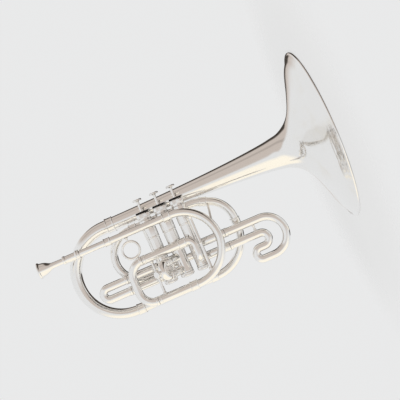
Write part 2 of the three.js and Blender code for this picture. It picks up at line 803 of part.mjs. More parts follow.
function thirdSlide() {
  const heights = [thirdUpperHeight, thirdLowerHeight];
  slideTubes('third_slide_tubes', 2, alongX, heights, thirdOuterEnd - valvePlace(2));
  const leg = thirdOuterEnd - thirdInnerStart + seatGap;
  const rest = thirdBowPlace - thirdOuterEnd - seatGap - slideStep;
  const bottom = thirdUpperHeight - 2 * thirdBowRadius;
  const middleHeight = bottom + 2 * thirdLeftCurlRadius;
  const rightCurlRadius = (thirdLowerHeight - middleHeight) / 2;
  const route = new Route(point(thirdInnerStart, valvePlane, thirdUpperHeight), alongX, alongZ);
  route.run(leg).run(slideStep).run(rest).bend(thirdBowRadius, 180, alongY);
  route.run(thirdBowPlace - thirdLeftCurlPlace).bend(thirdLeftCurlRadius, 180, alongY);
  route.run(thirdRightCurlPlace - thirdLeftCurlPlace).bend(rightCurlRadius, 180, backY);
  route.run(thirdRightCurlPlace - thirdOuterEnd - seatGap - slideStep).run(slideStep).run(leg);
  const bar = rod(
    point(thirdBracePlace, valvePlane, thirdUpperHeight - slideBowRadius + tubeWall / 2),
    point(thirdBracePlace, valvePlane, thirdLowerHeight + slideBowRadius - tubeWall / 2),
    alongX,
    braceRadius,
    braceSides,
  );
  place('third_slide', joined([slideBow(route, leg), bar]), silver);
}

function leadpipe() {
  const axisPoint = (x) => point(x, nearPlane, leadpipeHeight);
  const length = leadpipeEnd - leadpipeStart;
  const route = new Route(axisPoint(leadpipeStart), alongX, alongY).run(length);
  place('leadpipe', tubeAlong(
    route,
    graded(leadpipeStartRadius, leadpipeEndRadius),
    gradedBore(leadpipeStartRadius, leadpipeEndRadius),
  ), silver);
  const pipeShare = (leadpipeFerrulePlace - leadpipeStart) / length;
  const pipeRadius = leadpipeStartRadius + (leadpipeEndRadius - leadpipeStartRadius) * pipeShare;
  ferrule('leadpipe_ferrule', axisPoint(leadpipeFerrulePlace), alongX, alongY,
    leadpipeFerruleLength, pipeRadius + seatGap / 2);
  const seat = leadpipeStartRadius + seatGap;
  const wholeReceiver = receiverFoot - receiverEnd;
  const seatStart = leadpipeStart - receiverEnd - seatGap;
  const receiver = [
    [0, receiverBore], [seatStart, receiverBore], [seatStart, seat], [wholeReceiver, seat],
    [wholeReceiver, receiverCollarRadius],
    [wholeReceiver - receiverCollarLength, receiverCollarRadius],
    [wholeReceiver - receiverCollarLength, receiverWaistRadius],
    [receiverLipLength, receiverWaistRadius], [receiverLipLength, receiverLipRadius],
    [0, receiverLipRadius],
  ];
  receiver.push(receiver[0]);
  const stayPlace = receiverFoot - receiverCollarLength / 2;
  const stay = rod(
    point(stayPlace, nearPlane + receiverWaistRadius, leadpipeHeight),
    point(stayPlace, 0, bellBowHeightAt(stayPlace)),
    alongX,
    receiverStayRadius,
    braceSides,
  );
  const bowSeat = tubeAlong(bellBowRoute(), bellBowStartRadius + seatGap, 0);
  const standing = cutAway(stay, [bowSeat]);
  place('receiver', joined([turned(receiver, axisPoint(receiverEnd), alongX), standing]), silver);
}

// Mouthpiece: a rim, a tapering cup, a waist and a shank that enters the receiver
function mouthpiece() {
  const whole = shankTipPlace - mouthpieceEnd;
  const rimWaist = mouthpieceRimRadius - rimBeadLip;
  const cupWaist = (mouthpieceCupRadius + shankRadius) / 2;
  const outline = [
    [whole, mouthpieceThroatRadius], [whole, shankTipRadius], [mouthpieceShown, shankRadius],
    [mouthpieceWaistEnd, shankRadius], [mouthpieceCupEnd, cupWaist],
    [mouthpieceCupDepth, mouthpieceCupRadius + tubeWall], [mouthpieceRimDepth, rimWaist],
    [mouthpieceRimDepth / 2, mouthpieceRimRadius], [0, rimWaist],
    [0, mouthpieceCupRadius + rimBeadLip], [mouthpieceRimDepth / 2, mouthpieceCupRadius],
    [mouthpieceCupDepth, mouthpieceCupRadius - rimBeadLip],
    [mouthpieceCupEnd, mouthpieceThroatRadius], [whole, mouthpieceThroatRadius],
  ];
  const start = point(mouthpieceEnd, nearPlane, leadpipeHeight);
  place('mouthpiece', turned(outline, start, alongX), silver);
}

function frontBowRoute() {
  const start = point(leadpipeEnd + seatGap, nearPlane, leadpipeHeight);
  const route = new Route(start, alongX, alongY).run(frontBowPlace - start.x);
  return route.bend(frontBowRadius, 180, alongY).run(frontBowPlace - tuningOuterStart - seatGap);
}

function frontBranch() {
  const bow = frontBowRoute();
  place('front_bow', tubeAlong(bow, frontTubeRadius, frontTubeRadius - tubeWall), silver);
  ferrule('front_bow_ferrule', bow.stations[0].place, alongX, alongY, ferruleLength,
    frontTubeRadius);

  const outerSizes = [slideOuterRadius, slideOuterRadius, slideRingRadius, slideRingRadius];
  const outerTube = (height, from) => {
    const length = from - tuningOuterEnd;
    const tube = new Route(point(from, nearPlane, height), backX, alongY);
    tube.run(length - slideRingLength).run(slideStep).run(slideRingLength - slideStep);
    return tubeAlong(tube, outerSizes, slideOuterBore, tubeSides, tubeSides);
  };
  place('tuning_tube_upper', outerTube(tuningUpperHeight, tuningUpperStart), silver);
  place('tuning_tube_lower', outerTube(tuningLowerHeight, tuningOuterStart), silver);
  ferrule('tuning_lower_ferrule', point(tuningOuterStart, nearPlane, tuningLowerHeight),
    alongX, alongY, ferruleLength, slideOuterRadius);
  ferrule('tuning_upper_ferrule', point(tuningUpperStart, nearPlane, tuningUpperHeight),
    alongX, alongY, ferruleLength, slideOuterRadius);

  const leg = tuningInnerStart - tuningOuterEnd + seatGap;
  const cornerPlace = tuningBowPlace + tuningCornerRadius;
  const rest = tuningOuterEnd - seatGap - slideStep - cornerPlace;
  const side = tuningUpperHeight - tuningLowerHeight - 2 * tuningCornerRadius;
  const slide = new Route(point(tuningInnerStart, nearPlane, tuningUpperHeight), backX, alongY);
  slide.run(leg).run(slideStep).run(rest).bend(tuningCornerRadius, 90, backY).run(side);
  slide.bend(tuningCornerRadius, 90, backY).run(rest).run(slideStep).run(leg);
  place('tuning_slide', slideBow(slide, leg), silver);
}

function downPipe() {
  const start = point(tuningUpperStart + seatGap, nearPlane, tuningUpperHeight);
  const route = new Route(start, alongX, alongY);
  route.run(valvePlace(2) - downElbowRadius - start.x).bend(downElbowRadius, 90, alongY);
  route.run(tuningUpperHeight - downElbowRadius - inletPortHeight - portElbowRadius);
  route.bend(portElbowRadius, 90, alongX).run(valvePlane - nearPlane - portElbowRadius);
  const tube = tubeAlong(route, downTubeRadius, downTubeRadius - tubeWall);
  place('down_pipe', cutAway(tube, [casingClearing(2)]), silver);
}

// A brace rod with a flange at each end, cut to the tubes that it stands on
function brace(name, start, end, radius, footLength, seats) {
  const heading = end.clone().sub(start);
  const route = new Route(start, heading, alongX);
  route.run(footLength).run(slideStep);
  route.run(heading.length() - 2 * footLength - 2 * slideStep).run(slideStep).run(footLength);
  const outer = [
    braceFootRadius, braceFootRadius, radius, radius, braceFootRadius, braceFootRadius,
  ];
  place(name, cutAway(tubeAlong(route, outer, 0, braceSides), seats), silver);
}

function braces() {
  const bowSeat = tubeAlong(frontBowRoute(), frontTubeRadius + seatGap, 0);
  const frontMiddle = (leadpipeHeight + tuningLowerHeight) / 2;
  const chord = Math.sqrt(frontBowRadius ** 2 - (longBracePlace - frontBowPlace) ** 2);
  brace('long_brace', point(longBracePlace, nearPlane, frontMiddle + chord),
    point(longBracePlace, nearPlane, frontMiddle - chord), longBraceRadius,
    frontTubeRadius + braceFootLength, [bowSeat]);
  const loopBracePlace = tuningOuterEnd + slideRingLength + 2 * braceFootRadius;
  const seat = (height) => rod(
    point(tuningOuterEnd, nearPlane, height),
    point(tuningOuterStart, nearPlane, height),
    alongY,
    slideOuterRadius + seatGap,
  );
  brace('loop_brace', point(loopBracePlace, nearPlane, tuningUpperHeight),
    point(loopBracePlace, nearPlane, tuningLowerHeight), braceRadius,
    slideOuterRadius + braceFootLength, [seat(tuningUpperHeight), seat(tuningLowerHeight)]);
}

function fingerRing() {
  const centre = point(fingerRingPlace, nearPlane, fingerRingHeight);
  const outline = [];
  for (let i = 0; i <= fingerRingWireSides; i += 1) {
    const angle = (2 * Math.PI * i) / fingerRingWireSides;
    outline.push([
      fingerRingWireRadius * Math.sin(angle),
      fingerRingRadius + fingerRingWireRadius * Math.cos(angle),
    ]);
  }
  const ring = turned(outline, centre, alongY, fingerRingSteps);
  const ringTop = point(fingerRingPlace, nearPlane, fingerRingHeight + fingerRingRadius);
  const pipeShare = (fingerRingPlace - leadpipeStart) / (leadpipeEnd - leadpipeStart);
  const pipeRadius = leadpipeStartRadius + (leadpipeEndRadius - leadpipeStartRadius) * pipeShare;
  const underPipe = leadpipeHeight - pipeRadius - seatGap - ringTop.z;
  const post = turned([
    [0, 0], [0, fingerRingPostRadius], [underPipe - fingerRingSaddleDepth, fingerRingPostRadius],
    [underPipe - fingerRingSaddleDepth, fingerRingSaddleRadius], [underPipe, fingerRingSaddleRadius],
    [underPipe, 0],
  ], ringTop, alongZ, braceSides);
  place('finger_ring', joined([ring, post]), silver);
}

bell();
bellBranch();
rearBow();
returnBow();
for (let index = 0; index < valveCount; index += 1) {
  casing(index);
  valveCaps(index);
  piston(index);
}
crossovers();
firstSlide();
secondSlide();
thirdSlide();
leadpipe();
mouthpiece();
frontBranch();
downPipe();
braces();
fingerRing();

// Stood on the bell, with the middle of its footprint at the origin
const lowestReach = ferruleBore(bellBowEndRadius) + ferruleWall + ferruleBead - bottomRunHeight;
horn.rotation.y = Math.PI / 2;
horn.position.x = (lowestReach - bellRadius) / 2;
horn.position.z = bellLength;

const mellophone = new THREE.Group();
mellophone.add(horn);

export default mellophone;
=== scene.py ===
import bpy
import math
from mathutils import Matrix, Quaternion, Vector


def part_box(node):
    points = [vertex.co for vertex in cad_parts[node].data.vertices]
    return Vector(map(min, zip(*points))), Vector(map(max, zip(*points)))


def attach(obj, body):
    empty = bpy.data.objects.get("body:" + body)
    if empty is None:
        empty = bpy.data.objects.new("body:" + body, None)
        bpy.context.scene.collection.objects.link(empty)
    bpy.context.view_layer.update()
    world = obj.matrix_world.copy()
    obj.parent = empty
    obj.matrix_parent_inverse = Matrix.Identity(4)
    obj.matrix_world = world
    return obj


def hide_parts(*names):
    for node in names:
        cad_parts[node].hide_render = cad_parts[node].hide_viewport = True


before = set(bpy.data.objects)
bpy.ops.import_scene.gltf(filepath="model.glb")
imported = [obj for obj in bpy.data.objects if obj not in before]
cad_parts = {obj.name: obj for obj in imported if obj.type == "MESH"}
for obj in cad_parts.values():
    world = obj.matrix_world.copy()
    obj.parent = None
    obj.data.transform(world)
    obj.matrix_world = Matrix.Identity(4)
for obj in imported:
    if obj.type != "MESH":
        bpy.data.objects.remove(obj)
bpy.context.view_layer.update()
print("frame loaded")

# Sizes are in millimetres in the horn's own drawing: x runs along the bell towards its rim
# at zero, z runs up towards the buttons and y runs back from the leadpipe to the bell.
mm = 0.001
tip = 0.01  # radius at which a turned form closes on its axis
bellLow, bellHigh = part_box("bell")
bellAxis = (bellLow.x + bellHigh.x) / 2

alongX = Vector((1, 0, 0))
alongY = Vector((0, 1, 0))
alongZ = Vector((0, 0, 1))

plane = {"rear": -10, "valve": -28, "near": -46}
height = {
    "return": -19, "leadpipe": -21.7, "tuningUpper": -66.5, "tuningLower": -130,
    "bottomRun": -134.4,
}
frontBowRadius = (height["leadpipe"] - height["tuningLower"]) / 2
frontBowMiddle = (height["leadpipe"] + height["tuningLower"]) / 2
tubing = {
    "gap": 0.3, "edge": 0.22, "edgeShare": 0.35, "boreEase": -0.5, "sides": 40, "wireSides": 20,
    "bendStep": 4.5, "slack": 1e-9,
}
knurling = {"depth": 0.34, "teeth": 60, "toothSides": 4}
rounding = {"flat": -0.985, "share": 0.45, "tiny": 1e-6}


def point(x, y, z):
    return Vector((x, y, z))


def toRow(p):
    # the drawing lies along x, the object stands on its rim
    return Vector((p.z * mm + bellAxis, p.y * mm, -p.x * mm))


class Route:
    # a centre line of straight runs and round bends, measured by distance
    def __init__(self, start, heading, side):
        self.parts = []
        self.place = Vector(start)
        self.heading = Vector(heading).normalized()
        self.side = Vector(side).normalized()
        self.length = 0

    def keep(self, length, arc=None):
        start = (self.place.copy(), self.heading.copy(), self.side.copy())
        self.parts.append((self.length, length, *start, arc))
        self.length += length

    def run(self, length):
        self.keep(length)
        self.place = self.place + self.heading * length
        return self

    def bend(self, radius, degrees, axis):
        axis = Vector(axis).normalized()
        centre = self.place + axis.cross(self.heading) * radius
        self.keep(radius * math.radians(degrees), (radius, axis, centre))
        turn = Quaternion(axis, math.radians(degrees))
        self.place = centre + turn @ (self.place - centre)
        self.heading = turn @ self.heading
        self.side = turn @ self.side
        return self

    def at(self, distance):
        for start, length, place, heading, side, arc in self.parts:
            if distance <= start + length + tubing["slack"]:
                break
        gone = min(max(distance - start, 0), length)
        if arc is None:
            return place + heading * gone, heading, side
        radius, axis, centre = arc
        turn = Quaternion(axis, gone / radius)
        return centre + turn @ (place - centre), turn @ heading, turn @ side

    def stops(self):
        marks = {0.0, self.length}
        for start, length, _, _, _, arc in self.parts:
            marks.add(start)
            if arc is not None:
                count = max(2, round(math.degrees(length / arc[0]) / tubing["bendStep"]))
                marks.update(start + length * i / count for i in range(count + 1))
        return marks


def profileAt(profile, distance):
    if not isinstance(profile, list):
        return profile
    for (a, ra), (b, rb) in zip(profile, profile[1:]):
        if distance <= b:
            share = 0 if b == a else (distance - a) / (b - a)
            return ra + (rb - ra) * min(max(share, 0), 1)
    return profile[-1][1]


def shifted(rows, along, radius):
    # rows of an outline, measured from a place and a radius
    return [(along + a, radius + r) for a, r in rows]


def fromEnd(rows, whole):
    # the same rows in reverse, measured from the other end
    return [(whole - a, r) for a, r in reversed(rows)]


def softened(outline, radius, closed=False, steps=3):
    # each corner of an outline becomes a short curve
    made = []
    count = len(outline)
    for i, here in enumerate(outline):
        if not closed and i in (0, count - 1):
            made.append(tuple(here))
            continue
        corner = Vector(here)
        toBefore = Vector(outline[i - 1]) - corner
        toAfter = Vector(outline[(i + 1) % count]) - corner
        if toBefore.length < rounding["tiny"] or toAfter.length < rounding["tiny"]:
            made.append(tuple(here))
            continue
        if toBefore.normalized().dot(toAfter.normalized()) < rounding["flat"]:
            made.append(tuple(here))
            continue
        reach = min(radius, toBefore.length * rounding["share"], toAfter.length * rounding["share"])
        first = corner + toBefore.normalized() * reach
        last = corner + toAfter.normalized() * reach
        for k in range(steps + 1):
            t = k / steps
            made.append(tuple(first * (1 - t) ** 2 + corner * 2 * t * (1 - t) + last * t ** 2))
    return made


def circle(middle, side, up, radius, sides):
    angles = [2 * math.pi * k / sides for k in range(sides)]
    return [middle + side * (radius * math.cos(a)) + up * (radius * math.sin(a)) for a in angles]


class Shell:
    # points and faces of one piece, gathered from one or more forms
    def __init__(self):
        self.points = []
        self.faces = []

    def rings(self, rings, closed=False):
        base = len(self.points)
        sides = len(rings[0])
        for ring in rings:
            self.points.extend(ring)
        count = len(rings)
        for i in range(count if closed else count - 1):
            a = base + i * sides
            b = base + ((i + 1) % count) * sides
            for k in range(sides):
                n = (k + 1) % sides
                self.faces.append((a + k, a + n, b + n, b + k))
        if not closed:
            self.faces.append(tuple(base + k for k in reversed(range(sides))))
            self.faces.append(tuple(base + (count - 1) * sides + k for k in range(sides)))

    def tube(self, route, outer, bore=0):
        # a rod or a pipe along a route, with eased ends
        edge = tubing["edge"]
        first = edge * tubing["edgeShare"]
        marks = route.stops()
        marks.update((first, edge, route.length - edge, route.length - first))
        if isinstance(outer, list):
            marks.update(d for d, _ in outer if 0 <= d <= route.length)

        def rowOf(profile, inset):
            rings = []
            for distance in sorted(marks):
                place, heading, side = route.at(distance)
                radius = profileAt(profile, distance)
                nearEnd = min(distance, route.length - distance)
                if nearEnd < edge:
                    radius -= inset * edge * (1 - math.sqrt(max(0, 1 - (1 - nearEnd / edge) ** 2)))
                rings.append(circle(place, side, heading.cross(side), radius, tubing["sides"]))
            return rings

        skin = rowOf(outer, 1)
        if bore:
            self.rings(skin + list(reversed(rowOf(bore, tubing["boreEase"]))), True)
        else:
            self.rings(skin)
        return self

    def turned(self, outline, start, heading, sides=64, closed=True, band=None):
        # outline holds places along the axis and radii; band is where knurls are cut:
        # from, to and the least radius
        heading = Vector(heading).normalized()
        side = heading.orthogonal().normalized()
        up = heading.cross(side)
        if band:
            sides = max(sides, knurling["teeth"] * knurling["toothSides"])
        rings = []
        for along, radius in outline:
            middle = Vector(start) + heading * along
            knurled = band and band[0] <= along <= band[1] and radius >= band[2]
            depth = knurling["depth"] if knurled else 0
            ring = []
            for k in range(sides):
                angle = 2 * math.pi * k / sides
                r = radius - depth * (0.5 - 0.5 * math.cos(angle * knurling["teeth"]))
                ring.append(middle + side * (r * math.cos(angle)) + up * (r * math.sin(angle)))
            rings.append(ring)
        self.rings(rings, closed)
        return self

    def wire(self, points, radius, closed=False):
        # a round wire through points, kept from twisting
        count = len(points)
        rings = []
        side = None
        for i, place in enumerate(points):
            before = points[i - 1] if closed or i else points[i]
            after = points[(i + 1) % count] if closed or i + 1 < count else points[i]
            heading = (after - before).normalized()
            side = heading.orthogonal() if side is None else side
            side = (side - heading * side.dot(heading)).normalized()
            rings.append(circle(place, side, heading.cross(side), radius, tubing["wireSides"]))
        self.rings(rings, closed)
        return self

    def made(self, name, finish, body, nodes=(), sharp=38):
        mesh = bpy.data.meshes.new(name)
        mesh.from_pydata([toRow(p) for p in self.points], [], self.faces)
        mesh.validate()
        piece = bpy.data.objects.new(name, mesh)
        bpy.context.scene.collection.objects.link(piece)
        mesh.shade_smooth()
        mesh.set_sharp_from_angle(angle=math.radians(sharp))
        mesh.materials.append(finish["material"])
        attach(piece, body)
        if nodes:
            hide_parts(*nodes)


# Materials: a wrapped socket does its own arithmetic
class Value:
    def __init__(self, tree, socket):
        self.tree = tree
        self.socket = socket

    def maths(self, operation, other, swapped=False):
        node = self.tree.nodes.new("ShaderNodeMath")
        node.operation = operation
        first, second = (1, 0) if swapped else (0, 1)
        self.tree.links.new(self.socket, node.inputs[first])
        if isinstance(other, Value):
            self.tree.links.new(other.socket, node.inputs[second])
        else:
            node.inputs[second].default_value = other
        return Value(self.tree, node.outputs[0])

    def __add__(self, other):
        return self.maths("ADD", other)

    def __radd__(self, other):
        return self.maths("ADD", other, True)

    def __sub__(self, other):
        return self.maths("SUBTRACT", other)

    def __rsub__(self, other):
        return self.maths("SUBTRACT", other, True)

    def __mul__(self, other):
        return self.maths("MULTIPLY", other)

    def __rmul__(self, other):
        return self.maths("MULTIPLY", other, True)

    def lowest(self, other):
        return self.maths("MINIMUM", other)

    def highest(self, other):
        return self.maths("MAXIMUM", other)


class Nodes:
    # the node tree of one material or of the world
    def __init__(self, owner):
        owner.use_nodes = True
        self.tree = owner.node_tree
        self.tree.nodes.clear()

    def node(self, kind, settings=None, **values):
        # a socket is given by its name, or as i0, i1 and so on by its number
        made = self.tree.nodes.new("ShaderNode" + kind)
        for name, setting in (settings or {}).items():
            setattr(made, name, setting)
        for name, value in values.items():
            key = int(name[1:]) if name[0] == "i" and name[1:].isdigit() else name.replace("_", " ")
            if isinstance(value, Value):
                self.tree.links.new(value.socket, made.inputs[key])
            else:
                made.inputs[key].default_value = value
        return made

    def out(self, kind, output, settings=None, **values):
        return Value(self.tree, self.node(kind, settings, **values).outputs[output])

    def mix(self, factor, first, second):
        # a Mix node holds its colours in sockets 6 and 7 and gives one in socket 2
        colours = {"i6": first, "i7": second}
        colours = {key: c if isinstance(c, Value) else (*c, 1) for key, c in colours.items()}
        return self.out("Mix", 2, {"data_type": "RGBA"}, i0=factor, **colours)


def ramp(nodes, value, span):
    smooth = {"interpolation_type": "SMOOTHSTEP"}
    return nodes.out("MapRange", "Result", smooth, Value=value, i1=span[0], i2=span[1])


def surfaceNoise(nodes, scale, detail, roughness=0.55, stretch=(1, 1, 1)):
    place = nodes.out("TexCoord", "Object")
    moved = nodes.out("Mapping", "Vector", Vector=place, Scale=stretch)
    return nodes.out(
        "TexNoise", "Fac", Vector=moved, Scale=scale, Detail=detail, Roughness=roughness)


silverLook = {
    "colour": (0.94, 0.93, 0.915), "tarnishColour": (0.80, 0.70, 0.52),
    "shadeColour": (0.83, 0.81, 0.78), "tarnish": 0.18, "shade": 0.16,
    "roughness": 0.05, "roughnessSpread": 0.07, "patchShare": 0.5, "wipeShare": 0.6,
    "bump": 0.05, "bumpDepth": 0.0001, "cloudBump": 0.5,
    "cloudScale": 18.0, "cloudDetail": 3.0,
    "tarnishScale": 30.0, "tarnishDetail": 5.0, "tarnishGrain": 0.6, "tarnishSpan": (0.48, 0.78),
    "wipeScale": 260.0, "wipeDetail": 6.0, "wipeGrain": 0.7, "wipeStretch": (1, 1, 0.12),
}
steelLook = dict(
    silverLook, colour=(0.66, 0.66, 0.66), shadeColour=(0.5, 0.5, 0.5), roughness=0.22,
    roughnessSpread=0.16, tarnish=0.06, bump=0.15, wipeStretch=(0.15, 1, 1),
)
feltLook = {
    "colour": (0.006, 0.005, 0.005), "second": (0.022, 0.019, 0.018), "spread": 0.6,
    "scale": 900.0, "detail": 8.0, "grain": 0.75,
    "blotch": 0.25, "blotchScaleShare": 0.12, "blotchDetail": 3.0,
    "roughness": 0.85, "roughnessSpread": 0.15, "bump": 0.6, "bumpDepth": 0.0003,
}


def plated(name, look):
    # polished plate: soft clouding, fine wiping marks and a faint warm tarnish
    material = bpy.data.materials.new(name)
    nodes = Nodes(material)
    cloud = surfaceNoise(nodes, look["cloudScale"], look["cloudDetail"])
    tarnish = surfaceNoise(nodes, look["tarnishScale"], look["tarnishDetail"], look["tarnishGrain"])
    wiping = surfaceNoise(
        nodes, look["wipeScale"], look["wipeDetail"], look["wipeGrain"], look["wipeStretch"])
    patch = ramp(nodes, tarnish, look["tarnishSpan"])
    colour = nodes.mix(patch * look["tarnish"], look["colour"], look["tarnishColour"])
    colour = nodes.mix(cloud * look["shade"], colour, look["shadeColour"])
    spread = look["roughnessSpread"]
    rough = look["roughness"] + cloud * spread + patch * (spread * look["patchShare"])
    rough = rough + wiping * (spread * look["wipeShare"])
    bump = nodes.out(
        "Bump", "Normal", Height=wiping + cloud * look["cloudBump"], Strength=look["bump"],
        Distance=look["bumpDepth"])
    shader = nodes.out(
        "BsdfPrincipled", 0, Base_Color=colour, Roughness=rough, Normal=bump, Metallic=1.0)
    nodes.node("OutputMaterial", i0=shader)
    return material


def woolly(name, look):
    # felt: fine fibres over soft blotches
    material = bpy.data.materials.new(name)
    nodes = Nodes(material)
    fibre = surfaceNoise(nodes, look["scale"], look["detail"], look["grain"])
    blotchScale = look["scale"] * look["blotchScaleShare"]
    blotch = surfaceNoise(nodes, blotchScale, look["blotchDetail"])
    share = fibre * look["spread"] + blotch * look["blotch"]
    colour = nodes.mix(share, look["colour"], look["second"])
    rough = look["roughness"] + fibre * look["roughnessSpread"]
    bump = nodes.out(
        "Bump", "Normal", Height=fibre, Strength=look["bump"], Distance=look["bumpDepth"])
    shader = nodes.out("BsdfPrincipled", 0, Base_Color=colour, Roughness=rough, Normal=bump)
    nodes.node("OutputMaterial", i0=shader)
    return material


silver = {"slot": "silver_plate", "material": plated("silverPlate", silverLook)}
steel = {"slot": "steel", "material": plated("valveSteel", steelLook)}
felt = {"slot": "felt", "material": woolly("capFelt", feltLook)}
print("materials made")

# Ferrules
sleeve = {
    "length": 12, "wall": 0.6, "bead": 0.55, "play": 0.12, "lip": 0.25, "beadStart": 0.35,
    "beadEnd": 1.15, "foot": 1.5, "footRise": 0.12, "plainStart": 1.9, "soft": 0.3, "sides": 56,
}


def ferrule(name, middle, heading, length, radius, node):
    # a sleeve round a joint with a rolled bead at each end
    s = sleeve
    seat = radius + tubing["gap"] + s["play"]
    plain = seat + s["wall"]
    bead = plain + s["bead"]
    half = [
        (0, seat), (0, bead - s["lip"]), (s["beadStart"], bead), (s["beadEnd"], bead),
        (s["foot"], plain + s["footRise"]), (s["plainStart"], plain),
    ]
    outline = softened(half + fromEnd(half, length), s["soft"], True)
    start = Vector(middle) - Vector(heading) * (length / 2)
    Shell().turned(outline, start, heading, s["sides"]).made(name, silver, "horn", [node])


# Bell
bell = {
    "radius": 132.5, "length": 347, "wall": 0.6, "sides": 180, "curveSteps": 7, "sharp": 60,
    "beadRadius": 1.6, "beadStart": 40, "beadTurn": 265, "beadSteps": 16,
    "outline": [
        [1, 0.079], [0.79, 0.0885], [0.634, 0.102], [0.484, 0.121], [0.354, 0.145],
        [0.268, 0.1675], [0.225, 0.185], [0.179, 0.2115], [0.133, 0.287], [0.098, 0.4075],
        [0.065, 0.619], [0.037, 0.838], [0.0185, 0.93], [0.0085, 0.975],
    ],
}


def curved(points, steps):
    # a smooth line through the points of an outline
    made = []
    last = len(points) - 1
    for i in range(last):
        p0 = Vector(points[max(i - 1, 0)])
        p1 = Vector(points[i])
        p2 = Vector(points[i + 1])
        p3 = Vector(points[min(i + 2, last)])
        for k in range(steps):
            t = k / steps
            squared = (2 * p0 - 5 * p1 + 4 * p2 - p3) * t * t
            cubed = (3 * p1 - p0 - 3 * p2 + p3) * t ** 3
            made.append(tuple(0.5 * ((2 * p1) + (p2 - p0) * t + squared + cubed)))
    made.append(tuple(points[-1]))
    return made


def makeBell():
    b = bell
    back = curved([(a * b["length"], r * b["radius"]) for a, r in b["outline"]], b["curveSteps"])
    inside = []
    for i, (along, radius) in enumerate(back):
        before = Vector(back[max(i - 1, 0)])
        after = Vector(back[min(i + 1, len(back) - 1)])
        slope = (after - before).normalized()
        inside.append((along - slope.y * b["wall"], radius + slope.x * b["wall"]))
    inside[0] = (back[0][0], back[0][1] - b["wall"])
    bead = b["beadRadius"]
    middle = b["radius"] - bead
    rim = []
    for k in range(b["beadSteps"] + 1):
        angle = math.radians(b["beadStart"] + b["beadTurn"] * k / b["beadSteps"])
        rim.append((bead + bead * math.cos(angle), middle + bead * math.sin(angle)))
    outline = back + rim + list(reversed(inside))
    shell = Shell().turned(outline, point(0, 0, 0), -alongX, b["sides"])
    shell.made("bellFlare", silver, "horn", ["bell"], b["sharp"])


makeBell()
print("bell made")

# Bell bow and the run under it
bellBow = {
    "lead": 12, "startRadius": 10.27, "endRadius": 7.5, "runEnd": -233, "runRadius": 6.4,
    "tailRadius": 10.57,
}


def taper(start, end, length):
    return [(0, start), (length, end)]


def makeBellBranch():
    b = bellBow
    tail = point(-bell["length"] - tubing["gap"], 0, 0)
    radius = -height["bottomRun"] / 2
    bow = Route(tail, -alongX, alongY).run(b["lead"]).bend(radius, 180, -alongY)
    bow.run(sleeve["length"] / 2)
    Shell().tube(bow, taper(b["startRadius"], b["endRadius"], bow.length)).made(
        "bellBow", silver, "horn", ["bell_bow"])
    ferrule("bellFerrule", tail, -alongX, sleeve["length"], b["tailRadius"], "bell_ferrule")
    joint = bow.place + alongX * tubing["gap"]
    run = Route(joint, alongX, alongY).run(b["runEnd"] - joint.x - tubing["gap"])
    Shell().tube(run, taper(b["endRadius"], b["runRadius"], run.length)).made(
        "bottomRun", silver, "horn", ["bottom_rear_tube"])
    ferrule("bottomFerrule", joint, alongX, sleeve["length"], b["endRadius"], "bottom_ferrule")
    ferrule("bottomRearFerrule", run.place, alongX, sleeve["length"], b["runRadius"],
            "bottom_rear_ferrule")


# Rear bow, which leans from the rear plane to the bell's plane
rearBow = {
    "upperStart": -224, "lowerStart": -233, "upperBend": 41, "radius": 6.2, "firstBend": 17.7,
    "topFerrule": 12, "middleFerrule": 14,
}
frontStay = {"radius": 1.8, "turn": 66, "offset": 3.5, "root": 7}
returnBow = {"start": -323, "radius": 6, "portHeight": -94.8, "elbow": 8}


def makeFrontStay(pipe):
    # from the slanted ferrule on the rear bow to the front bow
    bowMiddle = point(front["bow"], plane["near"], frontBowMiddle)
    turn = math.radians(frontStay["turn"])
    outward = point(math.sin(turn), 0, math.cos(turn))
    end = bowMiddle + outward * (frontBowRadius + frontStay["offset"])
    root = pipe.place + pipe.heading * frontStay["root"]
    Shell().wire([root, end], frontStay["radius"]).made("frontStay", silver, "horn")


def makeRearBow():
    b = rearBow
    fall = height["return"] - height["bottomRun"]
    lean = math.atan2(-plane["rear"], fall)
    drop = math.hypot(plane["rear"], fall)
    axis = point(0, math.cos(lean), math.sin(lean))
    slantDrop = b["topFerrule"] * math.sin(math.radians(b["firstBend"]))
    lowerBend = drop - b["middleFerrule"] - slantDrop - b["upperBend"]
    gap = tubing["gap"]
    pipeStart = returnBow["start"] + sleeve["length"] / 2 + gap
    pipe = Route(point(pipeStart, plane["rear"], height["return"]), alongX, axis)
    pipe.run(b["upperStart"] - pipeStart).bend(b["upperBend"], b["firstBend"], axis)
    pipe.run(b["topFerrule"] / 2)
    Shell().tube(pipe, b["radius"]).made("returnPipe", silver, "horn", ["return_pipe"])
    ferrule("rearTopFerrule", pipe.place, pipe.heading, b["topFerrule"], b["radius"],
            "rear_bow_top_ferrule")
    makeFrontStay(pipe)
    upper = Route(pipe.place + pipe.heading * gap, pipe.heading, axis)
    upper.run(b["topFerrule"] / 2 - gap).bend(b["upperBend"], 90 - b["firstBend"], axis)
    upper.run(b["middleFerrule"] / 2)
    Shell().tube(upper, b["radius"]).made("rearBowUpper", silver, "horn", ["rear_bow_upper"])
    ferrule("rearMiddleFerrule", upper.place, upper.heading, b["middleFerrule"], b["radius"],
            "rear_bow_middle_ferrule")
    lower = Route(upper.place + upper.heading * gap, upper.heading, axis)
    lower.run(b["middleFerrule"] / 2 - gap).bend(lowerBend, 90, axis)
    lower.run(lower.place.x - b["lowerStart"] - gap)
    Shell().tube(lower, b["radius"]).made("rearBowLower", silver, "horn", ["rear_bow_lower"])


# Valves
valve = {
    "count": 3, "first": -294, "spacing": 26.5, "casing": 10, "bore": 8.6, "neck": 9.4,
    "top": -13.7, "bottom": -108.4, "elbowReach": 9.2, "sides": 72,
}


def valvePlace(index):
    return valve["first"] + valve["spacing"] * index


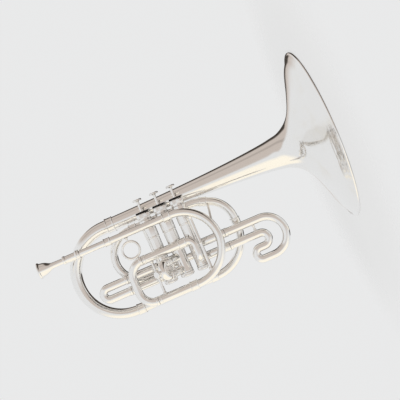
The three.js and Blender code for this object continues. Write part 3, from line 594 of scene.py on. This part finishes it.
def makeReturnBow():
    b = returnBow
    half = sleeve["length"] / 2
    start = point(b["start"] + half, plane["rear"], height["return"])
    radius = (height["return"] - b["portHeight"]) / 2
    route = Route(start, -alongX, alongY).run(half).bend(radius, 180, -alongY)
    route.run(valve["first"] - b["start"] - b["elbow"]).bend(b["elbow"], 90, -alongZ)
    route.run(plane["rear"] - plane["valve"] - b["elbow"] - valve["elbowReach"])
    Shell().tube(route, b["radius"]).made("returnBow", silver, "horn", ["return_bow"])
    ferrule("returnFerrule", start, alongX, sleeve["length"], rearBow["radius"], "return_ferrule")


casing = {
    "neckTop": 8.6, "neckBottom": 4.6, "step": -42.6, "stepSlope": 0.4, "upper": 10.45,
    "stepRows": [(2.4, 0), (2.2, -0.3), (1.9, 0), (0, 0)],
    "lipRows": [(2.6, 0), (2.2, 0.35), (0, 0.35)], "soft": 0.3,
}


def makeCasing(index):
    v, c = valve, casing
    outline = [
        (v["top"] + c["neckTop"], v["bore"]), (v["top"] + c["neckTop"], v["neck"]),
        (v["top"], v["neck"]), (v["top"], c["upper"]), *shifted(c["stepRows"], c["step"], c["upper"]),
        (c["step"] - c["stepSlope"], v["casing"]), *shifted(c["lipRows"], v["bottom"], v["casing"]),
        (v["bottom"], v["neck"]), (v["bottom"] - c["neckBottom"], v["neck"]),
        (v["bottom"] - c["neckBottom"], v["bore"]),
    ]
    middle = point(valvePlace(index), plane["valve"], 0)
    number = str(index + 1)
    Shell().turned(softened(outline, c["soft"], True), middle, alongZ, v["sides"]).made(
        "casing" + number, silver, "horn", ["valve_casing_" + number])


# Rows of the caps are places and differences from the cap's radius
cap = {
    "radius": 10.5, "bore": valve["neck"] + 0.15, "top": -3, "crown": 1.6, "crownInset": 1.5,
    "stemHole": 2.4, "skirtRows": [(0.3, -0.1), (1.2, -0.1), (1.6, -0.55)],
    "bandRows": [(-9.4, -0.55), (-9.0, 0), (-7.6, 0), (-6.2, 0), (-4.8, 0), (-4.4, 0)],
    "crownRows": [(-4.1, -0.35), (-3.7, -0.4), (-3.3, -0.8)],
    "topKnurl": (-9.05, -4.35), "knurlInset": 0.05, "topSoft": 0.22,
    "end": -115.5, "floor": 1.6, "vent": 1.5,
    "sideRows": [
        (-0.3, -0.1), (-1.2, -0.1), (-1.6, 0), (-3.0, 0), (-4.4, 0), (-4.8, -0.6),
    ],
    "slopeRows": [(1.0, -2.2)], "nubRows": [(0.3, 5.0), (0.1, 3.4), (0, 2.9)],
    "bottomKnurl": (-4.45, -1.55), "bottomSoft": 0.25, "cornerSteps": 2,
}


def turnedCap(name, index, outline, soft, knurl, node):
    band = (*knurl, cap["radius"] - cap["knurlInset"])
    middle = point(valvePlace(index), plane["valve"], 0)
    form = softened(outline, soft, True, cap["cornerSteps"])
    number = str(index + 1)
    Shell().turned(form, middle, alongZ, valve["sides"], band=band).made(
        name + number, silver, "horn", [node + number])


def makeCaps(index):
    c = cap
    ceiling = c["top"] - c["crown"]
    top = [
        (c["top"], c["stemHole"]), (ceiling, c["stemHole"]), (ceiling, c["bore"]),
        (valve["top"] + tubing["gap"], c["bore"]),
        *shifted(c["skirtRows"], valve["top"], c["radius"]),
        *shifted(c["bandRows"] + c["crownRows"], 0, c["radius"]),
        (c["top"], c["radius"] - c["crownInset"]),
    ]
    turnedCap("topCap", index, top, c["topSoft"], c["topKnurl"], "top_cap_")
    floorTop = c["end"] + c["floor"]
    bottom = [
        (floorTop, c["vent"]), (floorTop, c["bore"]), (valve["bottom"] - tubing["gap"], c["bore"]),
        *shifted(c["sideRows"], valve["bottom"], c["radius"]),
        *shifted(c["slopeRows"], c["end"], c["radius"]), *shifted(c["nubRows"], c["end"], 0),
        (c["end"], c["vent"]),
    ]
    knurl = [valve["bottom"] + place for place in c["bottomKnurl"]]
    turnedCap("bottomCap", index, bottom, c["bottomSoft"], knurl, "bottom_cap_")


# Rows of the button are measured from its underside or its top
button = {
    "radius": 7, "top": 19, "thick": 2.6, "stem": 2, "lid": 1.8, "lidRadius": 8.3,
    "collarRows": [(-1.2, 0), (-0.9, 0.9), (0, 1.3)], "edgeRows": [(0, -0.4), (0.4, 0)],
    "topRows": [(-0.9, 0), (-0.2, -0.5), (0, -1.1), (-0.15, -1.6), (-0.7, -2.4)],
    "dishRows": [(-0.95, 2.2), (-1.0, tip)], "soft": 0.25, "sides": 64,
}
feltRing = {"radius": 9.75, "thick": 2.4, "hole": 3.8, "soft": 0.35, "sides": 48}


def stemFoot(index):
    # the foot of the stem's lid, from the frame
    low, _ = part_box("valve_stem_" + str(index + 1))
    return (low[0] - bellAxis) / mm


def makeButton(index):
    b = button
    middle = point(valvePlace(index), plane["valve"], 0)
    number = str(index + 1)
    under = b["top"] - b["thick"]
    foot = stemFoot(index)
    stem = [
        (foot, tip), (foot, b["lidRadius"]), (foot + b["lid"], b["lidRadius"]),
        (foot + b["lid"], b["stem"]), *shifted(b["collarRows"], under, b["stem"]),
        *shifted(b["edgeRows"], under, b["radius"]), *shifted(b["topRows"], b["top"], b["radius"]),
        *shifted(b["dishRows"], b["top"], 0),
    ]
    Shell().turned(softened(stem, b["soft"]), middle, alongZ, b["sides"], False).made(
        "button" + number, silver, "valve_" + number, ["valve_stem_" + number])
    f = feltRing
    low = cap["top"] + tubing["gap"]
    high = low + f["thick"]
    ring = [(low, f["hole"]), (low, f["radius"]), (high, f["radius"]), (high, f["hole"])]
    Shell().turned(softened(ring, f["soft"], True), middle, alongZ, f["sides"]).made(
        "capFelt" + number, felt, "horn", ["cap_felt_" + number])


crossover = {"height": -90, "radius": 5.4, "inset": 0.6}


def makeCrossovers():
    c = crossover
    reach = valve["casing"] - c["inset"]
    for index in range(valve["count"] - 1):
        start = point(valvePlace(index) + reach, plane["valve"], c["height"])
        route = Route(start, alongX, alongZ).run(valve["spacing"] - 2 * reach)
        number = str(index + 1)
        Shell().tube(route, c["radius"]).made(
            "crossover" + number, silver, "horn", ["valve_crossover_" + number])


# Slides
slide = {
    "outer": 6.3, "bore": 5.75, "inner": 5.45, "bow": 6.1, "ring": 5, "ringRadius": 6.9,
    "ringStartRows": [(0.1, -0.1), (1.2, 0), (1.5, -0.25)],
    "ringEndRows": [(-1.5, -0.25), (-1.2, 0), (0, -0.1)], "outerSoft": 0.3,
    "bowRing": 0.75, "bowRingRows": [(0.15, -0.15), (0.5, 0), (3.6, 0)], "bowStart": 4.0,
    "bowSoft": 0.25, "casingInset": 0.35, "braceInset": 11, "braceSink": 0.5,
    "braceRadius": 1.7, "braceFoot": 2.9,
}
firstSlide = {"upper": -84.5, "lower": -101.8, "outerEnd": -352, "bow": -385.2, "innerStart": -306}
secondSlide = {
    "upper": -82.5, "lower": -101.8, "turn": 36, "outerReach": 35, "bowReach": 41.5,
    "innerReach": 13.6, "knobSink": 0.4, "knobSoft": 0.35, "knobSides": 40,
    "knob": [
        (0, tip), (0, 2.6), (0.6, 2.0), (3.2, 1.8), (4.0, 4.6), (4.4, 5.0), (5.6, 5.0), (6.0, 4.5),
        (8.2, 4.5), (8.6, 5.0), (9.6, 5.0), (10.0, 4.5), (10.0, tip),
    ],
}
thirdSlide = {
    "upper": -78, "lower": -98.5, "outerEnd": -194, "innerStart": -226, "bow": -138.4,
    "bowRadius": 28.9, "leftCurl": -154.2, "leftCurlRadius": 8.8, "rightCurl": -146.6,
    "brace": -151, "braceSink": 0.4,
}
flange = {
    "length": 1.6, "flatShare": 0.55, "slope": 0.5, "neckStart": 0.5, "neckRise": 0.25,
    "rodStart": 1.6, "ringRows": [(-1.2, 0), (-0.8, 0.55), (0.8, 0.55), (1.2, 0)],
    "ringLeast": 12, "soft": 0.3, "sides": 32,
}


def makeBrace(name, start, end, radius, foot, body, nodes=(), footLength=flange["length"]):
    # a turned rod that swells into a flange at each end, with a ring in the middle if long
    f = flange
    length = (end - start).length
    half = [
        (0, tip), (0, foot), (footLength * f["flatShare"], foot), (footLength, foot - f["slope"]),
        (footLength + f["neckStart"], radius + f["neckRise"]), (footLength + f["rodStart"], radius),
    ]
    ring = shifted(f["ringRows"], length / 2, radius) if length >= f["ringLeast"] else []
    outline = softened(half + ring + fromEnd(half, length), f["soft"])
    heading = (end - start).normalized()
    Shell().turned(outline, start, heading, f["sides"], False).made(name, silver, body, nodes)


def outerTube(shell, start, heading, side, length):
    # fixed slide tube with a beaded ring at its open end
    s = slide
    profile = [
        (0, s["outer"]), (length - s["ring"], s["outer"]),
        *shifted(s["ringStartRows"], length - s["ring"], s["ringRadius"]),
        *shifted(s["ringEndRows"], length, s["ringRadius"]),
    ]
    route = Route(start, heading, side).run(length)
    shell.tube(route, softened(profile, s["outerSoft"]), s["bore"])


def makeSlideTubes(name, index, heading, heights, reach, node):
    s = slide
    shell = Shell()
    middle = point(valvePlace(index), plane["valve"], 0)
    inset = valve["casing"] - s["casingInset"]
    for level in heights:
        start = point(middle.x, middle.y, level) + heading * inset
        outerTube(shell, start, heading, alongZ, reach - inset)
    shell.made(name, silver, "horn", [node])
    spot = middle + heading * (reach - s["braceInset"])
    top = point(spot.x, spot.y, heights[0] - s["outer"] + s["braceSink"])
    foot = point(spot.x, spot.y, heights[1] + s["outer"] - s["braceSink"])
    makeBrace(name + "Brace", top, foot, s["braceRadius"], s["braceFoot"], "horn")


def movingSlide(name, route, leg, body, node, extra=None):
    # slim legs and a wider bow behind a ring
    s = slide
    half = [
        (0, s["inner"]), (leg, s["inner"]),
        *shifted(s["bowRingRows"], leg, s["bow"] + s["bowRing"]), (leg + s["bowStart"], s["bow"]),
    ]
    shell = Shell().tube(route, softened(half + fromEnd(half, route.length), s["bowSoft"]))
    if extra:
        extra(shell)
    shell.made(name, silver, body, [node])


def makeFirstSlide():
    f = firstSlide
    makeSlideTubes("firstSlideTubes", 0, -alongX, (f["upper"], f["lower"]),
                   valve["first"] - f["outerEnd"], "first_slide_tubes")
    leg = f["innerStart"] - f["outerEnd"] + tubing["gap"]
    rest = f["outerEnd"] - tubing["gap"] - f["bow"]
    radius = (f["upper"] - f["lower"]) / 2
    route = Route(point(f["innerStart"], plane["valve"], f["upper"]), -alongX, alongZ)
    route.run(leg + rest).bend(radius, 180, -alongY).run(leg + rest)
    movingSlide("firstSlide", route, leg, "first_slide", "first_slide")


def secondHeading():
    turn = math.radians(secondSlide["turn"])
    return point(-math.sin(turn), -math.cos(turn), 0)


def makeSecondSlide():
    s = secondSlide
    heading = secondHeading()
    makeSlideTubes("secondSlideTubes", 1, heading, (s["upper"], s["lower"]), s["outerReach"],
                   "second_slide_tubes")
    leg = s["outerReach"] - s["innerReach"] + tubing["gap"]
    rest = s["bowReach"] - s["outerReach"] - tubing["gap"]
    radius = (s["upper"] - s["lower"]) / 2
    start = point(valvePlace(1), plane["valve"], s["upper"]) + heading * s["innerReach"]
    route = Route(start, heading, alongZ).run(leg + rest)
    route.bend(radius, 180, heading.cross(-alongZ)).run(leg + rest)
    middle = point(valvePlace(1), plane["valve"], (s["upper"] + s["lower"]) / 2)
    end = middle + heading * (s["bowReach"] + radius + slide["bow"] - s["knobSink"])

    def knob(shell):
        shell.turned(softened(s["knob"], s["knobSoft"]), end, heading, s["knobSides"], False)

    movingSlide("secondSlide", route, leg, "second_slide", "second_slide", knob)


def makeThirdSlide():
    t = thirdSlide
    makeSlideTubes("thirdSlideTubes", 2, alongX, (t["upper"], t["lower"]),
                   t["outerEnd"] - valvePlace(2), "third_slide_tubes")
    leg = t["outerEnd"] - t["innerStart"] + tubing["gap"]
    rest = t["bow"] - t["outerEnd"] - tubing["gap"]
    bottom = t["upper"] - 2 * t["bowRadius"]
    middle = bottom + 2 * t["leftCurlRadius"]
    curl = (t["lower"] - middle) / 2
    route = Route(point(t["innerStart"], plane["valve"], t["upper"]), alongX, alongZ)
    route.run(leg + rest).bend(t["bowRadius"], 180, alongY).run(t["bow"] - t["leftCurl"])
    route.bend(t["leftCurlRadius"], 180, alongY).run(t["rightCurl"] - t["leftCurl"])
    route.bend(curl, 180, -alongY).run(t["rightCurl"] - t["outerEnd"] - tubing["gap"] + leg)
    movingSlide("thirdSlide", route, leg, "third_slide", "third_slide")
    seat = slide["bow"] - t["braceSink"]
    makeBrace("thirdSlideBrace", point(t["brace"], plane["valve"], t["upper"] - seat),
              point(t["brace"], plane["valve"], t["lower"] + seat),
              slide["braceRadius"], slide["braceFoot"], "third_slide")


# Leadpipe, receiver and mouthpiece
leadpipe = {
    "start": -409, "end": -263, "startRadius": 4.75, "endRadius": 5.4, "ferrule": -356,
    "ferruleLength": 10,
}
receiver = {
    "end": -426, "foot": -400, "bore": 4.6, "seatPlay": 0.15, "seatDepth": 8.7,
    "mouthRows": [(0, 5.9), (0.5, 6.4), (3.4, 6.4), (3.9, 5.75), (4.6, 5.6)],
    "collarRows": [
        (-6.6, 5.75), (-5.4, 6.3), (-5.0, 7.2), (-3.4, 7.2), (-3.1, 6.5), (-2.1, 6.5),
        (-1.8, 7.2), (-0.5, 7.2), (0, 6.6),
    ],
    "soft": 0.3, "sides": 56, "stay": -402.5, "stayRadius": 2.2, "stayRoot": 5.6, "stayRise": 6,
}
mouthpiece = {
    "end": -465, "tip": -411, "shank": 4.3, "tipRadius": 3.6, "shankLead": 6, "shankRise": 0.1,
    "throat": 2.2, "throatFlare": 0.9, "soft": 0.6, "cornerSteps": 4, "sides": 72, "sharp": 50,
    "outside": [
        (24, 4.5), (20.5, 4.9), (17.5, 6.1), (14.5, 7.9), (11.5, 9.1), (8.0, 9.9), (5.0, 10.4),
        (3.6, 10.9), (3.1, 11.9), (2.2, 12.4), (1.1, 12.3), (0.3, 11.6), (0, 10.6),
    ],
    "cup": [
        (0.15, 9.8), (0.7, 9.1), (1.8, 8.6), (5.0, 8.1), (8.5, 7.0), (12.0, 5.2), (15.0, 3.3),
        (18.0, 2.4),
    ],
    "throatStart": 22.0,
}


def pipeRadius(x):
    p = leadpipe
    share = (x - p["start"]) / (p["end"] - p["start"])
    return p["startRadius"] + (p["endRadius"] - p["startRadius"]) * share


def leadpipePoint(x):
    return point(x, plane["near"], height["leadpipe"])


def makeLeadpipe():
    p, r = leadpipe, receiver
    length = p["end"] - p["start"]
    route = Route(leadpipePoint(p["start"]), alongX, alongY).run(length)
    Shell().tube(route, taper(p["startRadius"], p["endRadius"], length)).made(
        "leadpipe", silver, "horn", ["leadpipe"])
    ferrule("leadpipeFerrule", leadpipePoint(p["ferrule"]), alongX, p["ferruleLength"],
            pipeRadius(p["ferrule"]), "leadpipe_ferrule")
    whole = r["foot"] - r["end"]
    seat = p["startRadius"] + r["seatPlay"]
    outline = [
        (0, r["bore"]), *r["mouthRows"], *shifted(r["collarRows"], whole, 0), (whole, seat),
        (whole - r["seatDepth"], seat), (whole - r["seatDepth"], r["bore"]),
    ]
    form = softened(outline, r["soft"], True)
    shell = Shell().turned(form, leadpipePoint(r["end"]), alongX, r["sides"])
    root = point(r["stay"], plane["near"] + r["stayRoot"], height["leadpipe"])
    head = point(r["stay"], 0, height["leadpipe"] + r["stayRise"])
    shell.wire([root, head], r["stayRadius"]).made("receiver", silver, "horn", ["receiver"])


def makeMouthpiece():
    m = mouthpiece
    whole = m["tip"] - m["end"]
    entry = receiver["end"] - m["end"]
    outline = [
        (whole, m["tipRadius"]), (entry, m["shank"]),
        (entry - m["shankLead"], m["shank"] + m["shankRise"]), *m["outside"], *m["cup"],
        (m["throatStart"], m["throat"]), (whole, m["throat"] + m["throatFlare"]),
    ]
    form = softened(outline, m["soft"], True, m["cornerSteps"])
    Shell().turned(form, leadpipePoint(m["end"]), alongX, m["sides"]).made(
        "mouthpiece", silver, "mouthpiece", ["mouthpiece"], m["sharp"])


# Front bow and the main tuning slide
front = {
    "bow": -257.4, "radius": 6, "outerStart": -264, "upperStart": -256.6, "outerEnd": -320,
    "innerStart": -268, "slideBow": -342.7, "corner": 21.5, "downElbow": 9, "portElbow": 8,
    "downRadius": 5.7, "port": -98,
}


def makeTuningTube(name, level, start, node, ferruleNode):
    shell = Shell()
    place = point(start, plane["near"], level)
    outerTube(shell, place, -alongX, alongY, start - front["outerEnd"])
    shell.made("tuningTube" + name, silver, "horn", [node])
    ferrule("tuningFerrule" + name, place, alongX, sleeve["length"], slide["outer"], ferruleNode)


def makeFrontBranch():
    f = front
    joint = leadpipePoint(leadpipe["end"] + tubing["gap"])
    bow = Route(joint, alongX, alongY).run(f["bow"] - joint.x).bend(frontBowRadius, 180, alongY)
    bow.run(f["bow"] - f["outerStart"] - tubing["gap"])
    Shell().tube(bow, f["radius"]).made("frontBow", silver, "horn", ["front_bow"])
    ferrule("frontBowFerrule", joint, alongX, sleeve["length"], f["radius"], "front_bow_ferrule")
    makeTuningTube("Upper", height["tuningUpper"], f["upperStart"], "tuning_tube_upper",
                   "tuning_upper_ferrule")
    makeTuningTube("Lower", height["tuningLower"], f["outerStart"], "tuning_tube_lower",
                   "tuning_lower_ferrule")
    leg = f["innerStart"] - f["outerEnd"] + tubing["gap"]
    rest = f["outerEnd"] - tubing["gap"] - (f["slideBow"] + f["corner"])
    side = height["tuningUpper"] - height["tuningLower"] - 2 * f["corner"]
    route = Route(point(f["innerStart"], plane["near"], height["tuningUpper"]), -alongX, alongY)
    route.run(leg + rest).bend(f["corner"], 90, -alongY).run(side)
    route.bend(f["corner"], 90, -alongY).run(rest + leg)
    movingSlide("tuningSlide", route, leg, "tuning_slide", "tuning_slide")


def makeDownPipe():
    f = front
    start = point(f["upperStart"] + tubing["gap"], plane["near"], height["tuningUpper"])
    route = Route(start, alongX, alongY).run(valvePlace(2) - f["downElbow"] - start.x)
    route.bend(f["downElbow"], 90, alongY)
    route.run(height["tuningUpper"] - f["downElbow"] - f["port"] - f["portElbow"])
    route.bend(f["portElbow"], 90, alongX)
    route.run(plane["valve"] - plane["near"] - f["portElbow"] - valve["elbowReach"])
    Shell().tube(route, f["downRadius"]).made("downPipe", silver, "horn", ["down_pipe"])


# Braces and the finger ring
longBrace = {"place": -232, "radius": 2.6, "foot": 3.6, "footLength": 2.6, "seatShare": 0.98}
loopBrace = {"place": -308.2, "radius": 2, "foot": 3.3, "footLength": 2.0, "sink": 0.3}
fingerRing = {
    "x": -329, "z": -46, "radius": 12.8, "wire": 1.8, "steps": 72, "post": 1.6, "saddle": 3.0,
    "saddleDepth": 1.4, "saddleShare": 0.6, "saddleSlope": 0.3, "neck": 0.8, "soft": 0.3,
    "sides": 24,
}


def makeBraces():
    b = longBrace
    chord = math.sqrt(frontBowRadius ** 2 - (b["place"] - front["bow"]) ** 2)
    drop = front["radius"] * b["seatShare"]
    makeBrace("longBrace", point(b["place"], plane["near"], frontBowMiddle + chord - drop),
              point(b["place"], plane["near"], frontBowMiddle - chord + drop),
              b["radius"], b["foot"], "horn", ["long_brace"], b["footLength"])
    b = loopBrace
    drop = slide["outer"] - b["sink"]
    makeBrace("loopBrace", point(b["place"], plane["near"], height["tuningUpper"] - drop),
              point(b["place"], plane["near"], height["tuningLower"] + drop),
              b["radius"], b["foot"], "horn", ["loop_brace"], b["footLength"])


def makeFingerRing():
    f = fingerRing
    centre = point(f["x"], plane["near"], f["z"])
    ring = []
    for k in range(f["steps"]):
        angle = 2 * math.pi * k / f["steps"]
        ring.append(centre + point(math.cos(angle), 0, math.sin(angle)) * f["radius"])
    shell = Shell().wire(ring, f["wire"], True)
    ringTop = f["z"] + f["radius"]
    up = height["leadpipe"] - pipeRadius(f["x"]) - ringTop
    saddle = up - f["saddleDepth"]
    post = [
        (0, tip), (0, f["post"]), (saddle - f["neck"], f["post"]),
        (saddle, f["saddle"] - f["saddleSlope"]),
        (up - f["saddleDepth"] * f["saddleShare"], f["saddle"]), (up, f["saddle"]), (up, tip),
    ]
    place = point(f["x"], plane["near"], ringTop)
    shell.turned(softened(post, f["soft"]), place, alongZ, f["sides"], False)
    shell.made("fingerRing", silver, "horn", ["finger_ring"])


makeBellBranch()
makeRearBow()
makeReturnBow()
print("main tubing made")
for index in range(valve["count"]):
    makeCasing(index)
    makeCaps(index)
    makeButton(index)
makeCrossovers()
print("valves made")
makeFirstSlide()
makeSecondSlide()
makeThirdSlide()
makeFrontBranch()
makeDownPipe()
print("slides made")
makeLeadpipe()
makeMouthpiece()
makeBraces()
makeFingerRing()
print("mouthpipe, braces and ring made")

# The inner pieces keep their own forms
for name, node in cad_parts.items():
    if name.startswith(("valve_piston", "valve_guide", "valve_spring")):
        node.data.materials.clear()
        node.data.materials.append(steel["material"])

# Floor, light and camera, in metres
studio = {
    "background": (0.815, 0.818, 0.82), "floorSize": 0.75, "floorDrop": 0.0004,
    "floorSpan": (0.16, 0.38), "floorGlow": 0.65, "lampSize": 1.0, "lampTarget": (0, 0, 0.2),
}
lamps = {
    "key": {"place": (0.9, -0.9, 1.3), "energy": 3.6, "colour": (1, 1, 1)},
    "fill": {"place": (-0.9, -1.3, 0.5), "energy": 1.6, "colour": (1.0, 0.97, 0.92)},
}
shot = {
    "roll": 23.3, "distance": 1.278, "x": -18.7, "z": 208, "lens": 76.2, "sensor": 36,
    "clipEnd": 100,
}
# Each card in the room fades in over a span of directions; tail and rim lean it along the horn
room = {
    "plain": (0.80, 0.81, 0.82), "above": (0.60, 0.535, 0.49), "below": (1.06, 1.0, 0.87),
    "edge": (0.06, 0.05, 0.042),
    "aboveSpan": (-0.25, 0.05), "aboveTail": 1.3,
    "belowSpan": (0.15, 0.55), "belowTail": 0.5, "belowBack": (0.25, 0.5), "belowRim": (0.6, 0.85),
    "streak": 0.25, "streakStart": (-0.55, -0.38), "streakEnd": (-0.3, -0.1),
    "stripSpan": (0.02, 0.08), "stripTail": 1.5, "stripRim": 0.5, "stripBack": (0.3, 0.6),
    "stripWiden": 0.35,
    "cornerRise": (0.1, 0.35), "cornerSide": (0.08, 0.3), "cornerBack": (0.15, 0.5),
    "cornerWiden": 1.2,
}


def makeStage():
    # a small pale floor that fades into the backdrop; mirrored rays go through it to the room
    size = studio["floorSize"]
    corners = [(-size, -size, 0), (size, -size, 0), (size, size, 0), (-size, size, 0)]
    mesh = bpy.data.meshes.new("floor")
    mesh.from_pydata(corners, [], [(0, 1, 2, 3)])
    floor = bpy.data.objects.new("floor", mesh)
    floor.location.z = -studio["floorDrop"]
    bpy.context.scene.collection.objects.link(floor)
    material = bpy.data.materials.new("paleFloor")
    nodes = Nodes(material)
    path = nodes.node("LightPath")
    mirrored = Value(nodes.tree, path.outputs["Is Glossy Ray"])
    through = Value(nodes.tree, path.outputs["Is Transmission Ray"])
    seen = Value(nodes.tree, path.outputs["Is Camera Ray"]).highest(through)
    colour = (*studio["background"], 1)
    matte = nodes.out("BsdfDiffuse", 0, Color=colour)
    glow = nodes.out("Emission", 0, Color=colour, Strength=1.0)
    shown = nodes.out("MixShader", 0, i0=studio["floorGlow"], i1=matte, i2=glow)
    both = nodes.out("MixShader", 0, i0=seen, i1=matte, i2=shown)
    place = nodes.out("TexCoord", "Object")
    reach = nodes.out("VectorMath", "Value", {"operation": "LENGTH"}, i0=place)
    fade = ramp(nodes, reach, studio["floorSpan"]).highest(mirrored)
    clear = nodes.out("BsdfTransparent", 0)
    nodes.node("OutputMaterial", i0=nodes.out("MixShader", 0, i0=fade, i1=both, i2=clear))
    mesh.materials.append(material)


def makeWorld():
    # pale room with a brown-grey card above the horn, a warm one below, and a dark strip behind
    # it and in one corner
    world = bpy.data.worlds.new("studio")
    bpy.context.scene.world = world
    nodes = Nodes(world)
    path = nodes.node("LightPath")
    place = nodes.out("TexCoord", "Generated")

    def towards(direction):
        return nodes.out("VectorMath", "Value", {"operation": "DOT_PRODUCT"}, i0=place, i1=direction)

    r = room
    rise = towards(alongX)
    side = towards(-alongZ)
    away = towards(alongY)
    tailward = side.lowest(0)
    rimward = side.highest(0)
    above = ramp(nodes, rise + tailward * r["aboveTail"], r["aboveSpan"])
    below = ramp(nodes, tailward * r["belowTail"] - rise, r["belowSpan"])
    below = below * (1 - ramp(nodes, away, r["belowBack"]))
    below = below * (1 - ramp(nodes, side, r["belowRim"]))
    streak = ramp(nodes, away, r["streakStart"]) * (1 - ramp(nodes, away, r["streakEnd"]))
    streak = streak * r["streak"]
    strip = ramp(nodes, rise + tailward * r["stripTail"] + rimward * r["stripRim"], r["stripSpan"])
    strip = strip * ramp(nodes, away + side * r["stripWiden"], r["stripBack"])
    corner = ramp(nodes, rise, r["cornerRise"]) * ramp(nodes, side, r["cornerSide"])
    corner = corner * ramp(nodes, away + side * r["cornerWiden"], r["cornerBack"])
    strip = strip.highest(corner)
    colour = nodes.mix(above, r["plain"], r["above"])
    colour = nodes.mix(above * streak, colour, r["edge"])
    colour = nodes.mix(below, colour, r["below"])
    colour = nodes.mix(strip, colour, r["edge"])
    seen = Value(nodes.tree, path.outputs["Is Camera Ray"])
    colour = nodes.mix(seen, colour, studio["background"])
    nodes.node("OutputWorld", i0=nodes.out("Background", 0, Color=colour))


def makeCamera():
    # the photograph is taken from the leadpipe's side and is rolled
    data = bpy.data.cameras.new("camera")
    data.sensor_width = shot["sensor"]
    data.lens = shot["lens"]
    data.clip_end = shot["clipEnd"]
    camera = bpy.data.objects.new("camera", data)
    bpy.context.scene.collection.objects.link(camera)
    roll = math.radians(shot["roll"])
    right = Vector((-math.sin(roll), 0, -math.cos(roll)))
    up = Vector((math.cos(roll), 0, -math.sin(roll)))
    back = -alongY
    place = Vector((shot["x"] * mm + bellAxis, -shot["distance"], shot["z"] * mm))
    camera.matrix_world = Matrix((
        (right.x, up.x, back.x, place.x), (right.y, up.y, back.y, place.y),
        (right.z, up.z, back.z, place.z), (0, 0, 0, 1),
    ))
    bpy.context.scene.camera = camera


def makeLamp(name, look):
    data = bpy.data.lights.new(name, "AREA")
    data.size = studio["lampSize"]
    data.energy = look["energy"]
    data.color = look["colour"]
    lamp = bpy.data.objects.new(name, data)
    lamp.location = look["place"]
    lamp.rotation_mode = "QUATERNION"
    aim = Vector(studio["lampTarget"]) - Vector(look["place"])
    lamp.rotation_quaternion = aim.to_track_quat("-Z", "Y")
    lamp.visible_glossy = False
    bpy.context.scene.collection.objects.link(lamp)


makeStage()
makeWorld()
makeCamera()
for name, look in lamps.items():
    makeLamp(name, look)
bpy.context.scene.view_settings.view_transform = "Standard"
print("stage, light and camera set")
